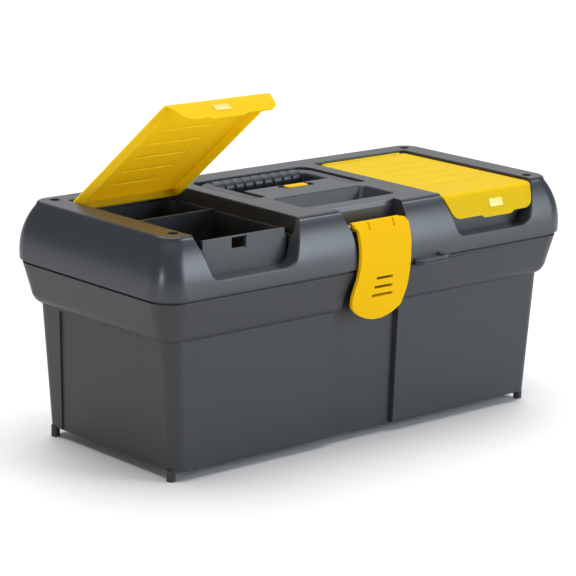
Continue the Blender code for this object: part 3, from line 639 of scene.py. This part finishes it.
def cutout_outline(spread, top):
    """Front view of a right-hand cut-out: slanted sides, rounded lower corners, spread wider."""
    inner, outer, low = SILL_X[0] - spread, SILL_X[1] + spread, SILL_Z - spread
    heights = np.linspace(top, low + 2 * CUTOUT_ROUND, 8)
    left = np.column_stack([inner - SIDE_SLOPE * (heights - low), heights])
    right = np.column_stack([outer + SIDE_SLOPE * (heights - low), heights])[::-1]
    return np.vstack([left, *lower_corners(inner, outer, low), right])


def cutout_tool(side, fillet):
    """Rings of the cut-out's outline, from inside the well out through the bowed face, flaring."""
    outline = cutout_outline(0.0, TOP_Z + 14.0)
    normal = outward(outline)
    face = -lid_half(np.minimum(outline[:, 1], TOP_Z))[:, 1]
    steps = [(fillet * (1 - math.sin(a)), fillet * (1 - math.cos(a))) for a in FLARE]
    steps.append((-12.0, steps[-1][1]))
    behind = np.full(len(outline), -76.0)
    rings = [np.column_stack([side * outline[:, 0], behind, outline[:, 1]])]
    for depth, out in steps:
        flat = outline + normal * out
        rings.append(np.column_stack([side * flat[:, 0], face + depth, flat[:, 1]]))
    return skin("cutout", rings)


def mirrored(side, pair):
    """A pair of x values on one side, lowest first; side is -1 for left and 1 for right."""
    return tuple(sorted((side * pair[0], side * pair[1])))

# %% The lid's hollow
MIDDLE_LININGS = (((-60.5, 60.5), (10.6, 63.0), 149.6), ((-62.5, 62.5), (-16.0, 15.0), 167.8),
                  ((-48.4, 48.4), (-62.4, -19.6), 166.4))


def lid_inside():
    """The lid's underside hollow: the form less the wall, and less what lines each recess."""
    inside = lid_form("hollow", WALL, RIM_Z - 8.0, TOP_Z - WALL, 2.0, steps=8)
    for side in (-1, 1):
        cut(inside, box("lining", mirrored(side, (WELL_X[0] - WALL, WELL_X[1] + WALL)),
                        (WELL_Y[0] - WALL, WELL_Y[1] + WALL), (143.0, 200)))
        outline = cutout_outline(WALL, TOP_Z + 20.0) * (side, 1)
        cut(inside, prism("lining", outline, "Y", -110.0, WELL_Y[0]))
    half = POCKET_HALF + 3.5
    return cut(inside, box("lining", (-half, half), (-110, -71.6), (120, 200)),
               *(box("lining", x, y, (low, 200)) for x, y, low in MIDDLE_LININGS))


# %% The lid's recesses
COVER_PIN_X = 121.05
SMALL_PARTS = [(168.8, -37.0, 37.0, -53.0, -29.0, 2.0), (169.3, -37.7, 37.7, -53.7, -28.3, 2.4),
               (171.0, -38.8, 38.8, -54.8, -27.2, 2.8), (181.1, -45.3, 45.3, -59.4, -22.6, 3.4),
               (181.6, -45.8, 45.8, -59.8, -22.2, 3.7), (181.95, -46.6, 46.6, -60.6, -21.4, 4.5),
               (192.0, -46.8, 46.8, -60.8, -21.2, 4.7)]
LATCH_POCKET = [(POCKET_HALF, 200), (-POCKET_HALF, 200), (-POCKET_HALF, 180), (-25.8, 167),
                (-24.4, 160), (-23.4, 150), (-23.2, 138), (-23.2, 110), (POCKET_HALF, 110)]
POCKET_LIP = [(-74.6, 184), (-73.4, 184), (-72.4, TOP_Z), (-72.8, TOP_Z - 0.8), (-73.4, 177.6),
              (-74.6, 177.0)]


def cut_organizer(lid, side):
    """A cover's well, the pocket for its bin, the front cut-out and the holes for its pin."""
    return cut(lid, mouth("well", mirrored(side, WELL_X), WELL_Y, 3.0, LEDGE_Z, 0.9),
               mouth("pocket", mirrored(side, BIN_X), BIN_Y, 8.0, 120.0, 0.5, top=LEDGE_Z),
               cutout_tool(side, 1.3),
               bar("sockets", (side * COVER_PIN_X, *COVER_AXIS), "X", 102.5, THIN_BORE))


def cut_middle(lid):
    """The hand well, the handle's channels and pin holes, the badge's seat and the dish."""
    cut(lid, mouth("hand_well", (-58.0, 58.0), (13.0, 60.6), 9.0, 152.0, 0.8, floor=2.5))
    for side in (-1, 1):
        cut(lid, mouth("channel", mirrored(side, (43.5, 58.0)), (-13.0, 30.0), 1.2, 170.2, 0.7),
            bar("socket", (side * 50.8, *HANDLE_AXIS), "X", 19.4, THICK_BORE))
    cut(lid, mouth("badge_seat", (-13.0, 19.0), (0.0, 12.0), 5.9, 180.8, 0.35))
    return cut(lid, stack("small_parts", SMALL_PARTS))


def cut_front(lid):
    """The latch's pocket with a soft upper lip, the holes for its rod, and the padlock lug."""
    cut(lid, prism("latch_pocket", LATCH_POCKET, "Y", -120.0, -74.0),
        prism("pocket_lip", POCKET_LIP, "X", -POCKET_HALF - 1.0, POCKET_HALF + 1.0),
        bar("latch_sockets", (0, *LATCH_AXIS), "X", 66.0, THIN_BORE))
    return cut(join(lid, padlock_lug(136.4, 138.8)), padlock_eye())


def add_lid_hinge(lid, side):
    """Room for the base's two knuckles, then the lid's own between them, bored for the pin."""
    centre = (side * HINGE_X, *LID_AXIS)
    for shift in (-1, 1):
        place = (side * HINGE_X + shift * 10.7, *LID_AXIS)
        cut(lid, bar("knuckle_space", place, "X", 11.4, KNUCKLE_SPACE))
    span = (side * HINGE_X - 5.4, side * HINGE_X + 5.4)
    join(lid, box("web", span, (91.0, LID_AXIS[0]), (138.6, 142.0)),
         bar("knuckle", centre, "X", 10.8, KNUCKLE_RADIUS))
    return cut(lid, bar("bore", centre, "X", 64.0, THICK_BORE))


# %% Build the lid
def build_lid():
    """The bowed form less its hollow, then its recesses from the top down to the hinges."""
    lid = lid_form("lid_moulding", 0.0, RIM_Z, TOP_Z, 3.0, foot=0.7)
    cut(lid, lid_inside())
    join(lid, box("dip_fill", (POCKET_HALF, 71.0), (-93.8, -91.0), (136.4, 141.0)))
    for side in (-1, 1):
        cut_organizer(lid, side)
    cut_front(cut_middle(lid))
    for x in (-PEG_AT[0], PEG_AT[0]):
        cut(lid, *(bar("dimple", (x, y, TOP_Z), "Z", 4.0, 3.9) for y in (-PEG_AT[1], PEG_AT[1])))
    for side in (-1, 1):
        add_lid_hinge(lid, side)
    return lid


lid = finish_shading(soften(build_lid(), 0.45))
install(lid, "lid", "lid_shell", LID_GREY)

# %% [markdown]
# ## Organizer bins and dividers
# Each bin is a thin box with rounded corners that hangs by a flange on the lid's ledge.
# Its front wall carries a thicker band along the top and a square hole for the cover's catch.

# %% Build the bins
BIN_FLOOR_Z, BIN_RIM_Z, BIN_FRONT_Z = 141.8, 171.5, 175.6
BIN_CORNER, BIN_WALL = 12.0, 2.0
CATCH_X, CATCH_HALF = 126.0, 6.5
DIVIDER_Y = 8.0


def build_bin(side, word):
    """A rounded box under a flange, hollowed, with a catch hole in front and divider rails."""
    x = mirrored(side, (BIN_X[0] + GAP, BIN_X[1] - GAP))
    y = (BIN_Y[0] + GAP, BIN_Y[1] - GAP)
    organizer = stack(word + "_bin_moulding", [grown(BIN_FLOOR_Z, x, y, BIN_CORNER, -1.0),
                                               (BIN_FLOOR_Z + 1, *x, *y, BIN_CORNER),
                                               (LEDGE_Z + 1, *x, *y, BIN_CORNER)])
    flange = (*mirrored(side, (WELL_X[0] + 0.4, WELL_X[1] - 0.4)), -71.0, WELL_Y[1] - 0.4, 2.7)
    join(organizer, stack("flange", [(z, *flange) for z in (LEDGE_Z + GAP, BIN_RIM_Z)]),
         box("front", (x[0] + 9, x[1] - 9), (y[0], y[0] + 3.0), (LEDGE_Z, BIN_FRONT_Z)))
    inner = (x[0] + BIN_WALL, x[1] - BIN_WALL)
    cut(organizer, mouth("space", inner, (y[0] + BIN_WALL, y[1] - BIN_WALL), BIN_CORNER - BIN_WALL,
                         BIN_FLOOR_Z + BIN_WALL, 0.5, floor=2.0, top=190.0))
    frame_x = mirrored(side, (CATCH_X - CATCH_HALF - 1.9, CATCH_X - CATCH_HALF))
    join(organizer, box("frame", frame_x, (y[0] - 0.8, y[0] + 1.0), (165.8, BIN_FRONT_Z)))
    catch_x = mirrored(side, (CATCH_X - CATCH_HALF, CATCH_X + CATCH_HALF))
    cut(organizer, box("hole", catch_x, (y[0] - 5, y[0] + 5), (166.4, 174.6)))
    for wall in inner:
        for rail_y in (DIVIDER_Y - 1.7, DIVIDER_Y + 1.7):
            join(organizer, box("rail", (wall - 1.6, wall + 1.6), (rail_y - 0.6, rail_y + 0.6),
                                (BIN_FLOOR_Z + 1.0, 169.0)))
    return organizer


def build_divider(side, word):
    """A plate that slides between the bin's rails; its edges are rounded afterwards."""
    x = mirrored(side, (BIN_X[0] + 2.6, BIN_X[1] - 2.6))
    return box(word + "_divider_plate", x, (DIVIDER_Y - 0.8, DIVIDER_Y + 0.8),
               (BIN_FLOOR_Z + 2.3, 173.5))


SIDES = {"left": -1, "right": 1}
for word, side in SIDES.items():
    piece = finish_shading(soften(build_bin(side, word), 0.5))
    install(piece, "lid", word + "_organizer_bin", BIN_GREY)
    piece = finish_shading(soften(build_divider(side, word), 0.35))
    install(piece, "lid", word + "_bin_divider", BIN_GREY)

# %% [markdown]
# ## Organizer covers
# A cover is one thin sheet: a flat panel that rolls over into a lip down the lid's front.
# Its side view is a path given a thickness, pushed along X, and trimmed by the lip's front view.

# %% The covers' side view
def thicken(path, thickness):
    """Closed outline between a path and its copy moved by thickness along its normals."""
    across = square_on(np.gradient(path, axis=0))
    return np.vstack([path, (path + across * thickness)[::-1]])


PANEL_Z = 180.0
BEND_Y, BEND_PULL_Y = -78.6, -82.6


def cover_path(lift=0.0):
    """Side view from hinge to lip: a line, the curve (1-t)^2 a + 2t (1-t) b + t^2 c, the bow."""
    top = PANEL_Z + lift
    panel = np.column_stack([np.linspace(COVER_AXIS[0], BEND_Y, 24), np.full(24, top)])
    t = np.linspace(0.0, 1.0, 14)[1:, None]
    start, pull = np.array((BEND_Y, top)), np.array((BEND_PULL_Y - lift, top))
    z = np.linspace(176.6, 157.5, 18)
    face = np.column_stack([-lid_half(z)[:, 1] + 0.3 - lift, z])
    bend = (1 - t) ** 2 * start + 2 * t * (1 - t) * pull + t ** 2 * face[0]
    return np.vstack([panel, bend, face[1:]])


# %% The covers' front view and skirt
COVER_X = (WELL_X[0] + 1.3, WELL_X[1] - 1.3)
LIP_Z = 162.0
SKIRT = [(COVER_AXIS[0], 179.0), (-80.0, 179.0), (-80.0, 173.2), (-60.0, 172.6), (55.0, 172.0),
         (60.0, 172.6), (COVER_AXIS[0], 176.0)]


def lip_outline():
    """Front view of the right cover's lip inside the cut-out, with its eased thumb tab."""
    inner = COVER_X[0] + SIDE_SLOPE * (TOP_Z - LIP_Z)
    outer = COVER_X[1] - SIDE_SLOPE * (TOP_Z - LIP_Z)
    drop = np.linspace(0.0, 1.0, 8)
    ease = drop * drop * (3 - 2 * drop)
    tab_in = np.column_stack([CATCH_X - 18.5 + 5.0 * drop, LIP_Z - 2.0 * ease])
    tab_out = np.column_stack([CATCH_X + 13.5 + 5.0 * drop, LIP_Z - 2.0 * ease[::-1]])
    near, far = lower_corners(inner, outer, LIP_Z)
    return np.vstack([[(inner - SIDE_SLOPE * 30.0, LIP_Z + 30.0)], near, tab_in, tab_out, far,
                      [(outer + SIDE_SLOPE * 30.0, LIP_Z + 30.0)]])


# %% Build the covers
def build_cover(side, word):
    """The bent sheet, trimmed, with skirts, small rear chamfers and a barrel for its pin."""
    x0, x1 = COVER_X
    cover = prism(word + "_cover_panel", thicken(cover_path(), -2.0), "X", *mirrored(side, COVER_X))
    trim(cover, prism("limit", lip_outline() * (side, 1), "Y", -110.0, 90.0))
    for edge in (x0, x1 - 1.8):
        join(cover, prism("skirt", SKIRT, "X", *mirrored(side, (edge, edge + 1.8))))
    join(cover, box("rear_skirt", mirrored(side, COVER_X), (57.4, 59.2), (172.4, 179.0)))
    for edge, inward in ((x0, 1), (x1, -1)):
        corner = [(edge - inward, 64.0), (edge + 3.0 * inward, 64.0), (edge - inward, 59.0)]
        cut(cover, prism("chamfer", np.array(corner) * (side, 1), "Z", 150.0, 190.0))
    middle = (side * COVER_PIN_X, *COVER_AXIS)
    join(cover, bar("barrel", middle, "X", x1 - x0 - 14.0, 3.0))
    return cut(cover, bar("bore", middle, "X", 120.0, THIN_BORE))


def turn_about(piece, axis, degrees):
    """Turn a mesh about an axis along X that passes through (y, z)."""
    pivot = Matrix.Translation((0.0, axis[0] * MM, axis[1] * MM))
    piece.data.transform(pivot @ Matrix.Rotation(math.radians(degrees), 4, "X") @ pivot.inverted())
    return piece


# %% Ribs, and pads with a painted highlight
RIB_X, RIB_HALF = (101.0, 150.0), 2.6
RIB_REACHES = (26.0, 46.0, 66.0, 86.0, 106.0)
RIB_RISE = ((179.6, 0.0), (180.05, 0.0), (180.28, 0.35), (180.48, 0.95), (180.6, 1.8))


def add_ribs(cover, side):
    """Five raised ribs across the panel, each over a groove of its own shape underneath."""
    ribs, grooves = [], []
    x = mirrored(side, RIB_X)
    for reach in RIB_REACHES:
        y = COVER_AXIS[0] - reach
        rib = [grown(z, x, (y - RIB_HALF, y + RIB_HALF), 2.55, -back) for z, back in RIB_RISE]
        ribs.append(stack("rib", rib, steps=6))
        groove = [(z, *x, y - 1.6, y + 1.6, 1.55) for z in (177.0, 178.0)]
        groove.append((178.75, x[0] + 0.5, x[1] - 0.5, y - 1.0, y + 1.0, 0.95))
        grooves.append(stack("groove", groove, steps=6))
    return cut(join(cover, *ribs), *grooves)


def build_pad(side, word):
    """A thin polished plate on the cover's bend, which a thumb pulls the cover open by; its pale
    colour is a painted highlight.
    """
    pad = prism(word + "_cover_pad", thicken(cover_path(0.35), -0.8), "X",
                *mirrored(side, (CATCH_X - 7.0, CATCH_X + 7.0)))
    return trim(pad, box("limit", mirrored(side, (100, 150)), (-110, -60), (167.0, 173.0)))


for word, side in SIDES.items():
    cover = add_ribs(soften(build_cover(side, word), 0.5), side)
    if word == "left":
        turn_about(cover, COVER_AXIS, -COVER_OPEN_DEG)
    finish_shading(cover)
    install(cover, word + "_cover", word + "_organizer_lid", COVER_YELLOW)
    pad = soften(build_pad(side, word), 0.3)
    if word == "left":
        turn_about(pad, COVER_AXIS, -COVER_OPEN_DEG)
    finish_shading(pad)
    # The pad gets its pale colour, which is a painted highlight.
    dress(pad, PAD_PAINTED_HIGHLIGHT)
    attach(pad, word + "_cover")

# %% [markdown]
# ## The latch
# The latch is a bowed plate: its side view is a smooth curve with a thickness.
# The front view, with its shoulders and round tongue, then trims it.

# %% The latch's outlines
LATCH_CURVE = np.array([(-89.5, 172.8), (-92.4, 168.0), (-95.6, 158.0), (-97.5, 146.0),
                        (-97.4, 135.0), (-95.4, 122.0), (-93.0, 110.0), (-91.4, 99.5)])
LATCH_FIT = np.polynomial.Polynomial.fit(LATCH_CURVE[:, 1], LATCH_CURVE[:, 0], 4)
RIGHT_EDGE = ((106.5, 115.5, 123.0, 139.0, 155.0, 164.0), (24.0, 26.6, 27.5, 27.5, 28.3, 29.0))
LEFT_EDGE = ((113.5, 118.0, 124.0, 131.5, 142.0, 153.0, 165.5),
             (-26.9, -27.2, -26.0, -24.0, -22.6, -21.8, -21.2))
TONGUE_AT, TONGUE_RADIUS = (0.5, 133.1), 36.0
SLOT_X, SLOTS = 2.4, ((129.7, 8.4), (122.7, 9.5), (116.2, 10.6))


def latch_outline():
    """Front view: eased waist, shoulders, a round tongue, and the left edge cut back."""
    right_z = np.linspace(164.0, 106.5, 18)
    left_z = np.linspace(113.5, 165.5, 16)
    return np.vstack([[(24.5, 172.0), (27.0, 171.4), (29.2, 168.0)],
                      np.column_stack([np.interp(right_z, *RIGHT_EDGE), right_z]), [(23.2, 105.0)],
                      arc(TONGUE_AT, TONGUE_RADIUS, -54.0, -133.0, 24),
                      [(-25.6, 108.8), (-26.5, 111.0)],
                      np.column_stack([np.interp(left_z, *LEFT_EDGE), left_z]),
                      [(-21.6, 167.2), (-23.8, 169.4), (-23.6, 171.2), (-22.0, 172.0)]])


# %% Build the latch
def build_latch():
    """The bowed plate trimmed and slotted, with a web to its barrel and a catch behind."""
    z = np.linspace(172.9, 96.9, 46)
    side_view = thicken(np.column_stack([LATCH_FIT(z), z]), -3.0)
    latch = prism("latch_plate", side_view, "X", -30.0, 30.0)
    trim(latch, prism("limit", latch_outline(), "Y", -120.0, -60.0))
    for height, half in SLOTS:
        slot = rounded(SLOT_X - half, SLOT_X + half, height - 1.0, height + 1.0, 0.9, 5)
        cut(latch, prism("slot", slot, "Y", -110.0, -80.0))
    for x in (-10.4, 14.3):
        cut(latch, box("slit", (x - 0.75, x + 0.75), (-110, -88.0), (166.6, 176.0)))
    join(latch, box("web", (-20.5, 26), (-91.0, LATCH_AXIS[0]), (166.4, 169.6)),
         bar("barrel", (2.5, *LATCH_AXIS), "X", 47.0, 3.4),
         box("catch", (-12, 12), (-92.0, -88.9), (112.0, 115.4)))
    return cut(latch, bar("bore", (0, *LATCH_AXIS), "X", 60.0, THIN_BORE))


latch = finish_shading(soften(build_latch(), 0.5))
install(latch, "latch", "front_latch", YELLOW)

# %% [markdown]
# ## The carry handle and its grip
# The bail is one rounded section carried along a U-shaped path that lies flat in the lid.
# The grip is a surface of revolution whose radius dips at each groove between its ribs.

# %% Build the handle
GRIP_Y, GRIP_Z = 51.5, 176.0
ARM_X, BAIL_CORNER = 50.65, 7.35
GRIP_HALF, GRIP_RADIUS, BORE_RADIUS = 43.5, 6.3, 3.7
RIBS, STEPS_PER_RIB, AROUND = 9, 24, 48


def build_handle():
    """Section (across, up), a rounded rectangle, carried along the U with its own normals."""
    y = GRIP_Y - BAIL_CORNER
    half = np.vstack([np.column_stack([np.full(12, ARM_X), np.linspace(HANDLE_AXIS[0], y, 12)]),
                      arc((ARM_X - BAIL_CORNER, y), BAIL_CORNER, 0, 90, 10)[1:],
                      [(43.6, y + BAIL_CORNER)]])
    section = rounded(-5.65, 5.65, -5.0, 5.0, 2.2, 5)
    bends = []
    for sign in (1, -1):
        path = half * (sign, 1)
        across = square_on(np.gradient(path, axis=0))
        flat = path[:, None, :] + across[:, None, :] * section[None, :, :1]
        height = np.broadcast_to(GRIP_Z + section[None, :, 1:], (len(path), len(section), 1))
        bends.append(skin("carry_bail", np.concatenate([flat, height], axis=-1)))
    handle, other = bends
    join(handle, other, bar("core", (0.0, GRIP_Y, GRIP_Z), "X", 91.0, 3.4))
    for sign in (-1, 1):
        centre = (sign * ARM_X, *HANDLE_AXIS)
        join(handle, bar("arm_end", centre, "X", 11.3, 5.0))
        cut(handle, bar("bore", centre, "X", 22.6, THICK_BORE))
    return handle


# %% Build the grip
def build_grip():
    """Radius along X: full less a narrow dip at each of the grooves, closed onto the bore."""
    x = np.linspace(-GRIP_HALF, GRIP_HALF, RIBS * STEPS_PER_RIB + 1)
    phase = (x + GRIP_HALF) / (2 * GRIP_HALF) * RIBS
    near = np.abs(phase - np.round(phase)) * 2 * GRIP_HALF / RIBS
    groove = 0.95 * np.exp(-(near / 0.75) ** 2)
    crown = 0.15 * np.clip(1 - near / 4.8, 0, 1) ** 2
    ribbed = np.column_stack([x, GRIP_RADIUS - groove - crown])
    profile = np.vstack([[(-GRIP_HALF, BORE_RADIUS)], ribbed, [(GRIP_HALF, BORE_RADIUS)]])
    t = np.arange(AROUND) * 2 * np.pi / AROUND
    ring = np.stack([np.broadcast_to(profile[:, :1], (len(profile), AROUND)),
                     GRIP_Y + profile[:, 1:] * np.cos(t),
                     GRIP_Z + profile[:, 1:] * np.sin(t)], axis=-1)
    return skin("ribbed_grip", ring, tube=True)


handle = finish_shading(soften(build_handle(), 0.4))
install(handle, "handle", "carry_handle", GRIP_GREY)
grip = finish_shading(build_grip(), 60.0)
install(grip, "handle", "handle_grip", GRIP_GREY)

# %% [markdown]
# ## The badge, the tray and its handle
# The badge is a small blank tab in an oval seat.
# The tray hangs by its rim on the base's collar and has six compartments.

# %% Build the badge and the tray
BADGE_X, BADGE_Y = (-7.0, 13.0), (2.2, 9.8)
badge = stack("blank_badge", [(181.1, *BADGE_X, *BADGE_Y, 2.0), (182.2, *BADGE_X, *BADGE_Y, 2.0),
                              (182.4, -6.7, 12.7, 2.5, 9.5, 1.7)])
finish_shading(badge)
install(badge, "lid", "badge_plate", YELLOW)

TRAY_TOP_Z = 112.4
TRAY_ROWS = ((72.0, (175.0, 70.0), 10.0), (74.0, (176.5, 71.5), 11.0), (110.2, (178.0, 73.0), 12.0),
             (110.2, (189.0, 81.2), 14.0), (TRAY_TOP_Z, (189.0, 81.2), 14.0))
TRAY_COLUMNS = ((-175.5, -61.0), (-59.0, 59.0), (61.0, 175.5))
TRAY_BANKS = ((-70.5, -2.5), (2.5, 70.5))


def build_tray():
    """A drafted block under a rim, with six compartments and a seat for its handle."""
    tray = stack("tray_moulding", [ring_row(*row) for row in TRAY_ROWS])
    for x in TRAY_COLUMNS:
        for y in TRAY_BANKS:
            cut(tray, mouth("compartment", x, y, 8.0, 74.2, 0.6, floor=3.0, top=TRAY_TOP_Z))
    cut(tray, box("seat", (-45.3, 45.3), (-10, 10), (92.0, 130.0)))
    for side in (-1, 1):
        cut(tray, box("slot", mirrored(side, (19.7, 30.3)), (-1.2, 1.2), (83.5, 95.0)))
    return tray


def build_tray_handle():
    """An upright plate on two tongues, with a rounded slot for the fingers."""
    plate = box("tray_grab", (-45, 45), (-2.5, 2.5), (92.3, 117.0))
    join(plate, *(box("tongue", mirrored(side, (20, 30)), (-0.9, 0.9), (84.0, 94.0))
                  for side in (-1, 1)))
    return cut(plate, prism("slot", rounded(-36, 36, 97, 111.5, 6, 8), "Y", -10, 10))


tray = finish_shading(soften(build_tray(), 0.4))
install(tray, "tray", "lift_out_tray", TRAY_BLACK)
grab = finish_shading(soften(build_tray_handle(), 0.5))
install(grab, "tray", "tray_handle", TRAY_BLACK)

# %% [markdown]
# ## Pins and rods
# The steel pins keep their CAD shape and only get a drawn-wire finish.

# %% Steel finish
def steel():
    """Bright metal whose roughness runs in fine lines along X, the way that wire is drawn."""
    made = bpy.data.materials.new("drawn steel")
    made.use_nodes = True
    tree = made.node_tree
    shader = tree.nodes["Principled BSDF"]
    where = add_node(tree, "ShaderNodeTexCoord", (-900, 0))
    stretch = add_node(tree, "ShaderNodeMapping", (-700, 0), Scale=(60.0, 2500.0, 2500.0))
    lines = add_node(tree, "ShaderNodeTexNoise", (-500, 0), Scale=1.0, Detail=2.0)
    ramp = add_node(tree, "ShaderNodeMapRange", (-300, 100), To_Min=0.25, To_Max=0.42)
    link = tree.links.new
    link(where.outputs["Object"], stretch.inputs["Vector"])
    link(stretch.outputs["Vector"], lines.inputs["Vector"])
    link(lines.outputs["Fac"], ramp.inputs["Value"])
    link(ramp.outputs["Result"], shader.inputs["Roughness"])
    shader.inputs["Base Color"].default_value = (0.5, 0.51, 0.52, 1.0)
    shader.inputs["Metallic"].default_value = 1.0
    return made


STEEL = steel()
for name, node in frame["nodes"].items():
    if name.endswith("_pin") or name.endswith("_rod"):
        dress(node, STEEL)
        print("steel on", name)

# %% [markdown]
# ## Studio
# A pale floor, a white room and large soft lights give an even light with few hard shadows.
# The room looks brighter than it shines, so that the far floor and the wall behind stay white.

# %% The floor
FLOOR_REACH, FLOOR_CELLS, FLOOR_DROP = 6000.0, 12, 0.2


def build_floor():
    """A flat square grid far larger than the box, a hair below its pegs."""
    count = FLOOR_CELLS + 1
    line = np.linspace(-FLOOR_REACH, FLOOR_REACH, count)
    x, y = np.meshgrid(line, line, indexing="ij")
    points = np.stack([x, y, np.full_like(x, -FLOOR_DROP)], axis=-1).reshape(-1, 3)
    corner = np.arange(FLOOR_CELLS)[:, None] * count + np.arange(FLOOR_CELLS)[None, :]
    quads = np.stack([corner, corner + count, corner + count + 1, corner + 1], axis=-1)
    mesh = bpy.data.meshes.new("floor")
    mesh.from_pydata((points * MM).tolist(), [], quads.reshape(-1, 4).tolist())
    floor = bpy.data.objects.new("floor", mesh)
    scene.collection.objects.link(floor)
    mesh.materials.append(plastic("floor paper", (0.92, 0.92, 0.92), 0.6, tone=0.01, spread=0.02))
    return floor


build_floor()
print("floor spans", 2 * FLOOR_REACH * MM, "m")


# %% The lights
LIGHT_AIM = Vector((0.0, 0.0, 0.1))


def new_light(name, kind, power):
    """A light of one kind, held by an object that gives it its place."""
    lamp = bpy.data.lights.new(name, kind)
    lamp.energy = power
    holder = bpy.data.objects.new(name, lamp)
    scene.collection.objects.link(holder)
    return holder


def soft_light(name, place, size, power, colour=(1.0, 1.0, 1.0)):
    """A square area light that faces the box."""
    holder = new_light(name, "AREA", power)
    holder.data.shape = "SQUARE"
    holder.data.size = size
    holder.data.color = colour
    turn = (LIGHT_AIM - Vector(place)).to_track_quat("-Z", "Y").to_matrix().to_4x4()
    holder.matrix_world = Matrix.Translation(place) @ turn


def sky_light(name, strength, spread):
    """A very soft light from almost straight above that reaches the whole floor evenly."""
    holder = new_light(name, "SUN", strength)
    holder.data.angle = math.radians(spread)
    holder.rotation_euler = (math.radians(-8.0), math.radians(6.0), 0.0)


sky_light("overhead", 3.25, 70.0)
soft_light("front softbox", (1.7, -2.4, 0.85), 1.4, 50.0, (0.84, 0.92, 1.0))
soft_light("rear panel", (3.0, 3.2, 1.3), 3.6, 22.0)
soft_light("left strip", (-2.6, -0.75, 0.5), 0.5, 13.0)
print("lit by", len(bpy.data.lights), "lights")

# %% The room
ROOM_SHINE, ROOM_LOOK = 0.14, 1.1
world = bpy.data.worlds.new("white room")
world.use_nodes = True
room = world.node_tree
backdrop = room.nodes["Background"]
backdrop.inputs["Color"].default_value = (1.0, 1.0, 1.0, 1.0)
ray = add_node(room, "ShaderNodeLightPath", (-500, 0))
strength = add_node(room, "ShaderNodeMapRange", (-250, 0), To_Min=ROOM_SHINE, To_Max=ROOM_LOOK)
room.links.new(ray.outputs["Is Camera Ray"], strength.inputs["Value"])
room.links.new(strength.outputs["Result"], backdrop.inputs["Strength"])
scene.world = world
scene.view_settings.view_transform = "Standard"
